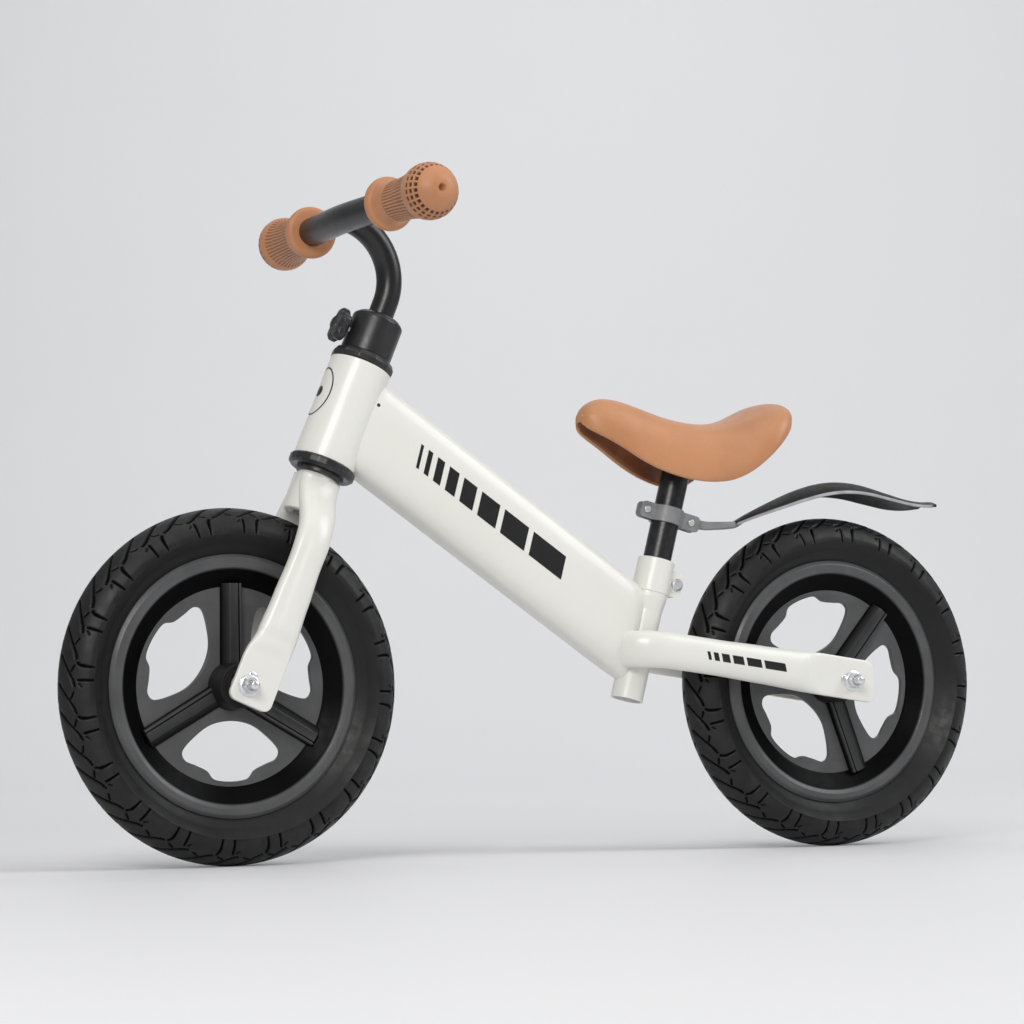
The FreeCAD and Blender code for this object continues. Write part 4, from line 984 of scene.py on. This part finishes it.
def headset():
    """The faceted lock nut and lower cup, and the collar that grips the stem."""
    nut = rounded_line([(14.6, 46.4, 0), (26.8, 46.4, 0.6), (28.0, 47.6, 0.6), (28.0, 51.2, 0.8),
                        (25.6, 55.6, 0.8), (14.6, 56.0, 0)], steps=4)
    lathe("lock_nut_ring", nut, CHARCOAL, "fork", STEER, 288, faceted(12, 0.75), ["lock_nut"])
    cup = rounded_line([(16.5, -54.0, 0), (27.0, -54.0, 0.8), (29.4, -51.8, 0.8), (29.4, -46.6, 0.8),
                        (28.0, -45.1, 0.6), (16.5, -45.1, 0)], steps=4)
    lathe("lower_cup_ring", cup, CHARCOAL, "frame", STEER, 288, faceted(24, 1.0), ["lower_cup"])
    collar = rounded_line([(14.7, 56.1, 0), (21.9, 56.1, 0.4), (22.5, 56.8, 0.4), (22.5, 89.4, 4.2),
                           (18.2, 93.4, 2.2), (12.4, 93.4, 0.8), (11.4, 91.6, 0.5), (11.4, 60.0, 0)], steps=6)
    lathe("stem_collar_shell", collar, CHARCOAL, "fork", STEER, 128, replaces=["stem_collar"])


def knob():
    """The lobed hand knob with a shallow dish in its face and softened edges."""
    joint = joint_named("knob_turn")
    place = frame_along(joint["pos_m"], joint["axis"], STEER_AXIS)
    line = rounded_line([(3.1, 24.6, 0), (6.0, 24.6, 0.5), (6.2, 26.6, 0.5), (13.6, 26.8, 1.2),
                         (15.9, 28.6, 1.5), (15.9, 33.6, 1.8), (13.2, 36.1, 1.6), (7.9, 36.4, 0.8),
                         (7.0, 35.6, 0.5), (3.0, 35.5, 0)], steps=6)

    def lobes(angle, radius, along):
        return -3.4 * ((1 - np.cos(5 * angle)) / 2) ** 1.4 * smooth_step(radius, 8.5, 12.5)

    lathe("knob_star", line, CHARCOAL, "knob", place, 200, lobes, ["clamp_knob"])


headset()
knob()


# ---- Axle ends ----

def hex_nut(name, place, body, node):
    """A chamfered six-sided nut on a thin flange."""
    corner = 7.4
    height = 6.4
    bore = 4.15
    line = rounded_line([(bore, 0, 0), (corner * 1.16, 0, 0.2), (corner * 1.16, 0.8, 0.3), (corner, 1.3, 0.3),
                         (corner, height - 1.0, 0.2), (corner * 0.84, height, 0.3), (bore + 0.5, height, 0.2),
                         (bore, height - 0.6, 0)], steps=3)

    def sides(angle, radius, along):
        sector = np.pi / 3
        local = np.mod(angle, sector) - sector / 2
        flat = math.cos(sector / 2) / np.cos(local)
        on_side = (along > 1.0) & (radius > bore + 1.0)
        return np.where(on_side, np.minimum(radius, corner * flat) - radius, 0.0)

    lathe(name, line, ZINC, body, place, 120, sides, [node])


def tab_washer(name, place, body, node):
    """A pressed washer with a turned-in tab on its forward side."""
    line = rounded_line([(4.2, 0, 0.2), (9.3, 0, 0.3), (9.3, 1.5, 0.5), (7.4, 1.9, 0.4), (4.2, 1.9, 0.2)],
                        closed=True, steps=3)

    def tab(angle, radius, along):
        off_forward = np.abs(np.mod(angle + np.pi, 2 * np.pi) - np.pi)
        return 2.6 * (1 - smooth_step(off_forward, 0.22, 0.42)) * (radius > 6.8)

    lathe(name, line, ZINC, body, place, 144, tab, [node])


def threaded_rod(name, half_length, place, body, node):
    """An axle with a real helical thread and chamfered ends."""
    radius = 4.0
    pitch = 1.25
    columns = 24
    rows = int(2 * half_length / pitch * 8)
    rings = []
    for row in range(rows + 1):
        along = -half_length + 2 * half_length * row / rows
        ring = []
        for column in range(columns):
            angle = 2 * math.pi * column / columns
            phase = (along / pitch - column / columns) % 1.0
            thread = 0.42 * (1 - abs(phase * 2 - 1))
            chamfer = max(0.0, 0.9 - (half_length - along), 0.9 - (along + half_length))
            reach = radius - max(thread, chamfer)
            ring.append((reach * math.cos(angle), reach * math.sin(angle), along))
        rings.append(ring)
    ring_piece(name, rings, ZINC, body, place, [node])


def axle_ends(prefix, hub, body, tab_heading):
    """The axle, its washers and its nuts on both sides."""
    for side, word in ((1, "left"), (-1, "right")):
        place = frame_along(hub, (0, side, 0), tab_heading)
        on_arm = place @ Matrix.Translation((0, 0, 43.0 * MM))
        tab_washer(f"{prefix}_tab_washer_{word}", on_arm, body, f"{prefix}_washer_{word}")
        on_washer = place @ Matrix.Translation((0, 0, 45.0 * MM))
        hex_nut(f"{prefix}_hex_nut_{word}", on_washer, body, f"{prefix}_nut_{word}")
    place = frame_along(hub, (0, 1, 0), tab_heading)
    threaded_rod(prefix + "_axle_rod", 58.9, place, body, prefix + "_axle")


axle_ends("front", FRONT_HUB, "fork", STEER_AXIS)
axle_ends("rear", REAR_HUB, "frame", (1, 0, 0.15))


# ---- Mudguard ----

# Each row is a place along the bike, the height of the blade's crown, its half width and its arch.
GUARD_SHAPE = [(-197.0, 295.2, 7.6, 1.0), (-215.0, 304.5, 13.2, 3.4), (-239.0, 315.4, 19.4, 6.4),
               (-262.0, 324.8, 22.8, 8.6), (-285.0, 331.4, 24.3, 9.8), (-306.0, 333.7, 24.6, 10.0),
               (-328.0, 331.9, 24.6, 9.5), (-352.0, 325.9, 24.5, 8.0), (-376.0, 319.5, 24.2, 6.0),
               (-394.0, 317.0, 22.6, 4.5), (-408.6, 317.2, 19.0, 3.2)]


def guard_ring(crown, half, arch):
    """One cross-section of the blade as (across, up, lightness), over its top and back along its underside."""
    thick = 2.3
    across = np.concatenate((np.linspace(-1, -0.9, 5), np.linspace(-0.86, 0.86, 27), np.linspace(0.9, 1, 5)))
    top = [(place * half, crown - arch * place ** 2, float(abs(place) > 0.965)) for place in across]
    # Painted shade: the underside is left dark, all but its very edge.
    under = [(place * half, crown - arch * place ** 2 - thick, float(abs(place) > 0.975))
             for place in across[::-1]]
    edge = []
    for step in range(1, 6):
        turn = math.pi * step / 6
        edge.append((half + 0.55 * math.sin(turn), crown - arch - thick * 0.5 * (1 - math.cos(turn)), 1.0))
    return top + edge + under + [(-side, up, tone) for side, up, tone in reversed(edge)]


def mudguard():
    """The S-shaped blade: a dark arched top, a light bead round its edge, and an underside painted dark as shade.
    """
    places = -197.2 + np.linspace(0, 1, 120) * (-408.2 + 197.2)
    crowns, halves, arches = (read_rows(GUARD_SHAPE, column, places) for column in (1, 2, 3))
    halves = halves * (1 - smooth_step(-places, 397.0, 408.4) * 0.22)
    rings = []
    light = []
    for x, crown, half, arch in zip(places, crowns, halves, arches):
        ring = guard_ring(crown, half, arch)
        rings.append([(x, side, up) for side, up, tone in ring])
        light += [tone * (1 - smooth_step(-x, 397.0, 403.0)) for side, up, tone in ring]
    ring_piece("mudguard_skin", rings, GUARD, "mudguard", None, ["mudguard_blade"], {"light_edge": light})


mudguard()


# ---- Main tube, fork blades and stays ----

def oval_tube(name, stations, body, place, replaces, shape=None):
    """A closed cream tube whose section changes. Shape may move its points.

    A station is its centre, its two directions, the full width along each, and a power: 2 gives an ellipse,
    and more gives a box with round corners.
    """
    columns = 56
    rings = []
    for centre, across, out, width, thick, power in stations:
        ring = []
        for column in range(columns):
            angle = 2 * math.pi * column / columns
            aside = signed_power(math.cos(angle), 2 / power) * width / 2
            ahead = signed_power(math.sin(angle), 2 / power) * thick / 2
            point = Vector(centre) + Vector(across) * aside + Vector(out) * ahead
            ring.append(shape(point) if shape else point)
        rings.append(ring)
    return ring_piece(name, rings, CREAM, body, place, replaces)


def plate_width(full, end_distance, corner):
    """The width of a plate near its rounded end."""
    if end_distance >= corner:
        return full
    inside = max(corner ** 2 - (corner - end_distance) ** 2, 0.0)
    return full - 2 * corner + 2 * math.sqrt(inside)


def main_tube():
    """The deep main tube: straight from the head tube, then rounded in where it is welded to the seat tube."""
    heading = ahead_at(TUBE_TILT)
    normal = ahead_at(SEAT_LEAN)
    rear = (SEAT_FOOT - TUBE_MIDDLE).dot(normal) / heading.dot(normal) + 9.0
    front = 29.0
    widths = [(0.0, 20.0), (1.5, 25.0), (4.0, 31.0), (8.0, 36.0), (13.0, 39.4), (20.0, 41.4), (30.0, 42.0)]
    widths += [(run, 42.0) for run in np.arange(42.0, front - rear, 12.0)]
    stations = []
    for run, width in widths:
        angle = SEAT_LEAN + (TUBE_TILT - SEAT_LEAN) * float(smooth_step(run, 0.0, 90.0))
        power = 3.0 + 0.6 * float(smooth_step(run, 0.0, 30.0))
        stations.append((TUBE_MIDDLE + heading * (rear + run), (0, 1, 0), up_at(angle), width,
                         80.0 / math.cos(TUBE_TILT - angle), power))
    return oval_tube("main_tube_skin", stations, "frame", Matrix.Identity(4), ["down_tube"])


def fork_blade(side, word):
    """One fork blade: it grows out of the crown, swings out past the tyre, and is pressed flat at its end."""
    path = curve_through([(9.0, -60.5), (9.4, -66.0), (11.6, -74.0), (16.5, -83.0), (23.6, -92.5),
                          (30.6, -103.0), (35.3, -115.0), (37.0, -128.0), (37.0, -145.0), (37.0, -170.0),
                          (37.0, -198.0), (37.6, -212.0), (39.2, -223.0), (40.0, -232.0), (40.0, -250.0),
                          (40.0, -269.0)], 160)
    lengths = lengths_along(path)
    end = lengths[-1]
    widths = [(60, 36.6), (68, 36.2), (84, 35.0), (110, 31.0), (140, 29.6), (175, 32.5), (205, 35.5),
              (226, 38.4), (232, 39.0)]
    thicks = [(60, 18.6), (72, 19.0), (96, 19.0), (198, 18.4), (212, 13.5), (227, 6.4), (231, 6.0)]
    powers = [(60, 2.0), (96, 2.2), (195, 2.3), (212, 2.8), (231, 8.0)]
    setbacks = [(60, 0.0), (96, -3.0), (205, -3.5), (231, 0.0)]

    def on_path(run):
        """The place on the path a distance along it."""
        return np.array([np.interp(run, lengths, path[:, axis]) for axis in (0, 1)])

    def flute(point):
        """A shallow pressed hollow down the blade's outer face, nearer its front edge."""
        if side * point.y < 30.0 or point.z > -92.0:
            return point
        along = float(smooth_step(-point.z, 92.0, 124.0) * (1 - smooth_step(-point.z, 190.0, 216.0)))
        near = math.exp(-((point.x - 3.4) / 4.2) ** 2)
        return Vector((point.x, point.y - side * 1.7 * along * near, point.z))

    stations = []
    for run in [*np.arange(0.0, end - 12.0, 2.0), *np.arange(end - 12.0, end, 0.8), end - 0.02]:
        y, z = on_path(run)
        heading = on_path(run + 1.0) - on_path(run - 1.0)
        heading /= np.linalg.norm(heading)
        width = plate_width(table_value(widths, -z), end - run, 7.0)
        centre = (table_value(setbacks, -z), side * y, z)
        out = (0, side * -heading[1], heading[0])
        stations.append((centre, (1, 0, 0), out, width, table_value(thicks, -z), table_value(powers, -z)))
    oval_tube("fork_leg_" + word, stations, "fork", STEER, ["fork_blade_" + word], flute)


def stays():
    """Both stays and the bend that joins them round the seat tube, as one pressed tube with flat ends."""
    edges = [(0, 34.0), (8, 34.2), (50, 36.0), (95, 37.0), (138, 37.5), (156, 40.0)]
    thicks = [(0, 18.0), (132, 18.0), (144, 12.5), (156, 6.2), (158, 6.0)]
    heights = [(0, 32.5), (50, 32.5), (95, 34.5), (140, 37.2), (156, 38.0)]
    powers = [(0, 2.3), (128, 2.3), (144, 3.0), (158, 8.0)]
    full = 210.0
    bend = 34.0

    def straight_station(run, side):
        """One station on a stay, a distance back from the bend."""
        height = plate_width(table_value(heights, run), full - run, 6.0)
        centre = (YOKE_X - run, side * table_value(edges, run), YOKE_Z - STAY_SLOPE * run)
        return (centre, (0, side, 0), (0, 0, 1), table_value(thicks, run), height, table_value(powers, run))

    runs = [full - back for back in (0.03, 0.3, 0.8, 1.5, 2.4, 3.6, 5.0, 6.5)]
    runs += list(np.arange(full - 9.0, 0, -3.0))
    stations = [straight_station(run, 1) for run in runs]
    for step in range(37):
        angle = math.radians(90 - 5 * step)
        out = (math.cos(angle), math.sin(angle), 0)
        centre = (YOKE_X + bend * math.cos(angle), bend * math.sin(angle), YOKE_Z + 2.0 * math.cos(angle))
        stations.append((centre, out, (0, 0, 1), 18.0, 32.5, 2.3))
    stations += [straight_station(run, -1) for run in reversed(runs)]
    return oval_tube("stay_pair", stations, "frame", Matrix.Identity(4),
                     ["chainstay_left", "chainstay_right", "chainstay_yoke"])


MAIN_TUBE = main_tube()
fork_blade(1, "left")
fork_blade(-1, "right")
STAY_PAIR = stays()


# ---- Printed marks, and the painted shade of a vent ----

def surface_tree(piece):
    """A piece's surface, ready for finding where a straight line meets it."""
    points = [piece.matrix_world @ vertex.co for vertex in piece.data.vertices]
    return BVHTree.FromPolygons(points, [tuple(face.vertices) for face in piece.data.polygons])


def mark(name, patches, start_point, piece):
    """Thin printed patches laid on a piece: their flat coordinates are carried onto its surface."""
    steps = 10
    lift = 0.16 * MM
    tree = surface_tree(piece)
    points = []
    faces = []
    for corners in patches:
        first = len(points)
        faces += [[first + corner for corner in face]
                  for face in grid_faces(steps + 1, steps + 1, wrap_columns=False)]
        low_left, low_right, high_right, high_left = (np.array(corner, float) for corner in corners)
        for row in range(steps + 1):
            for column in range(steps + 1):
                below = low_left + (low_right - low_left) * column / steps
                above = high_left + (high_right - high_left) * column / steps
                start, towards = start_point(*(below + (above - below) * row / steps))
                spot = tree.ray_cast(start, towards)[0]
                points.append(spot - towards * lift)
    new_piece(name, points, faces, BLACK, "frame", solid=False)


def slanted_bar(start, length, low, high, lean):
    """A bar in flat coordinates whose ends lean."""
    return ((start, low), (start + length, low), (start + length + lean, high), (start + lean, high))


def bar_row(start, low, high, lengths, gap, lean):
    """Leaning bars in a row, each shorter than the last."""
    patches = []
    for length in lengths:
        patches.append(slanted_bar(start, length, low, high, lean))
        start += length + gap
    return patches


def side_start(origin, tilt, side):
    """Where lines start for flat coordinates on one side face: along a tilted line, and up from it."""
    towards = Vector((0, -side, 0))

    def start(along, across):
        place = Vector(origin) + ahead_at(tilt) * along + up_at(tilt) * across
        return place * MM - towards * 0.12, towards

    return start


def side_marks():
    """Plain leaning bars on each side of the main tube, and a small row of them on each stay."""
    large = bar_row(-214.0, -6.0, 14.0, (38.0, 28.0, 21.0, 15.0, 11.0, 8.0, 5.0, 3.0), 5.6, 7.0)
    small = bar_row(-49.0, -3.6, 3.6, (22.0, 15.0, 11.0, 8.0, 5.0, 3.0), 3.2, 2.6)
    stay_middle = (-175.0, 0, 168.7)
    for side, word in ((1, "left"), (-1, "right")):
        mark("tube_bars_" + word, large, side_start(TUBE_MIDDLE, TUBE_TILT, side), MAIN_TUBE)
        mark("stay_bars_" + word, small, side_start(stay_middle, math.atan(STAY_SLOPE), side), STAY_PAIR)


def oval_ring(half_across, half_high, width, middle, count):
    """A flat ring as a run of patches."""
    patches = []
    for step in range(count):
        corners = []
        for turn, grow in ((step, -0.5), (step + 1, -0.5), (step + 1, 0.5), (step, 0.5)):
            angle = 2 * math.pi * turn / count
            corners.append(((half_across + grow * width) * math.cos(angle),
                            middle + (half_high + grow * width) * math.sin(angle)))
        patches.append(corners)
    return patches


def head_mark():
    """A plain oval ring on the front of the head tube, with a small dot inside."""
    head_radius = 27.0
    clear_radius = 80.0

    def start(around, height):
        outside = ahead_at(0) * clear_radius
        outside.rotate(Matrix.Rotation(around / head_radius, 3, "Z"))
        far = STEER @ ((outside + Vector((0, 0, height))) * MM)
        near = STEER @ (Vector((0, 0, height)) * MM)
        return far, (near - far).normalized()

    patches = oval_ring(15.5, 22.0, 1.3, 11.0, 48) + oval_ring(2.6, 2.6, 5.0, 11.0, 24)
    mark("head_oval", patches, start, NODES["head_tube"])


def drain_hole():
    """A thin black disc painted in as the shade inside the small vent near the front of the main tube, on its left
    side.
    """
    beside_vent = Vector((163.0, 120.0, 389.0)) * MM
    spot, normal, _, _ = surface_tree(MAIN_TUBE).ray_cast(beside_vent, Vector((0, -1, 0)))
    line = rounded_line([(0.1, 0.3, 0), (1.6, 0.3, 0), (1.6, -0.4, 0.1), (0.1, -0.4, 0)], steps=3)
    place = frame_along(spot - normal * 0.1 * MM, normal, (1, 0, 0))
    # Painted shade: the black disc stands for the dark inside of the vent.
    lathe("vent_shade_disc", line, BLACK, "frame", place, 32)


side_marks()
head_mark()
drain_hole()


# ---- CAD pieces that keep their shape ----

LOOKS = [CREAM, BLACK, ZINC, CHARCOAL, RIM, RUBBER, LEATHER, GRIP, BROWN, GREY, GUARD]


def dress_cad():
    """Give every CAD node the procedural finish of its material slot."""
    finishes = {look.slot: look.mat for look in LOOKS}
    for part in frame["record"]["subparts"]:
        for slot in NODES[part["node"]].material_slots:
            slot.material = finishes[part["material_slot"]]


dress_cad()


# ---- Studio ----

CAMERA_PLACE = Vector((1291.8, 2545.9, 110.6)) * MM
CAMERA_YAW = math.radians(26.42)
CAMERA_PITCH = math.radians(3.83)
CAMERA_ROLL = math.radians(-0.87)
CAMERA_LENS = 114.05


def camera():
    """The camera: low, long-lensed, looking at the bike's left side from ahead of it."""
    ahead = Vector((-math.sin(CAMERA_YAW) * math.cos(CAMERA_PITCH),
                    -math.cos(CAMERA_YAW) * math.cos(CAMERA_PITCH), math.sin(CAMERA_PITCH)))
    level = ahead.cross(Vector((0, 0, 1))).normalized()
    upright = level.cross(ahead)
    right = level * math.cos(CAMERA_ROLL) + upright * math.sin(CAMERA_ROLL)
    up = upright * math.cos(CAMERA_ROLL) - level * math.sin(CAMERA_ROLL)
    data = bpy.data.cameras.new("camera")
    data.lens = CAMERA_LENS
    data.sensor_width = 36.0
    data.clip_end = 60.0
    seat = bpy.data.objects.new("camera", data)
    matrix = Matrix((right, up, -ahead)).transposed().to_4x4()
    matrix.translation = CAMERA_PLACE
    seat.matrix_world = matrix
    bpy.context.scene.collection.objects.link(seat)
    bpy.context.scene.camera = seat


def floor():
    """A wide pale floor that curves up into the backdrop."""
    wall = -3.0
    bend = 2.4
    half_width = 14.0
    profile = [(6.0, 0.0), (wall, 0.0)]
    for step in range(1, 17):
        angle = math.pi / 2 * step / 16
        profile.append((wall - bend * math.sin(angle), bend * (1 - math.cos(angle))))
    profile.append((wall - bend, 9.0))
    points = [(side, along, height) for along, height in profile for side in (-half_width, half_width)]
    faces = grid_faces(len(profile), 2, wrap_columns=False)
    turn = Matrix.Rotation(-CAMERA_YAW, 4, "Z")
    mesh_object("studio_floor", points, faces, floor_look(), turn)


def soft_light(name, place, aim, size, power, tint=(1.0, 1.0, 1.0)):
    """A square soft light at a place, facing a point."""
    data = bpy.data.lights.new(name, "AREA")
    data.shape = "RECTANGLE"
    data.size = size[0]
    data.size_y = size[1]
    data.energy = power
    data.color = tint
    lamp = bpy.data.objects.new(name, data)
    heading = Vector(aim) - Vector(place)
    lamp.rotation_euler = heading.to_track_quat("-Z", "Y").to_euler()
    lamp.location = place
    bpy.context.scene.collection.objects.link(lamp)


def studio():
    """Even soft light from above and both sides."""
    world = bpy.data.worlds.new("studio")
    world.use_nodes = True
    background = world.node_tree.nodes["Background"]
    background.inputs["Color"].default_value = (0.95, 0.955, 0.97, 1.0)
    background.inputs["Strength"].default_value = 0.32
    bpy.context.scene.world = world
    soft_light("overhead", (0.3, 0.6, 3.0), (0, 0, 0.2), (2.8, 2.2), 23.0)
    soft_light("key", (2.1, 2.8, 1.9), (0, 0, 0.25), (1.5, 1.3), 60.0, (1.0, 0.99, 0.97))
    soft_light("fill", (-2.2, 1.5, 1.9), (0, 0, 0.2), (1.7, 1.7), 35.0, (0.97, 0.985, 1.0))
    soft_light("wall_wash", (-1.4, -2.2, 3.4), (-2.3, -4.2, 0.2), (5.0, 1.4), 66.0, (0.98, 0.985, 1.0))
    bpy.context.scene.view_settings.view_transform = "Standard"


camera()
floor()
studio()
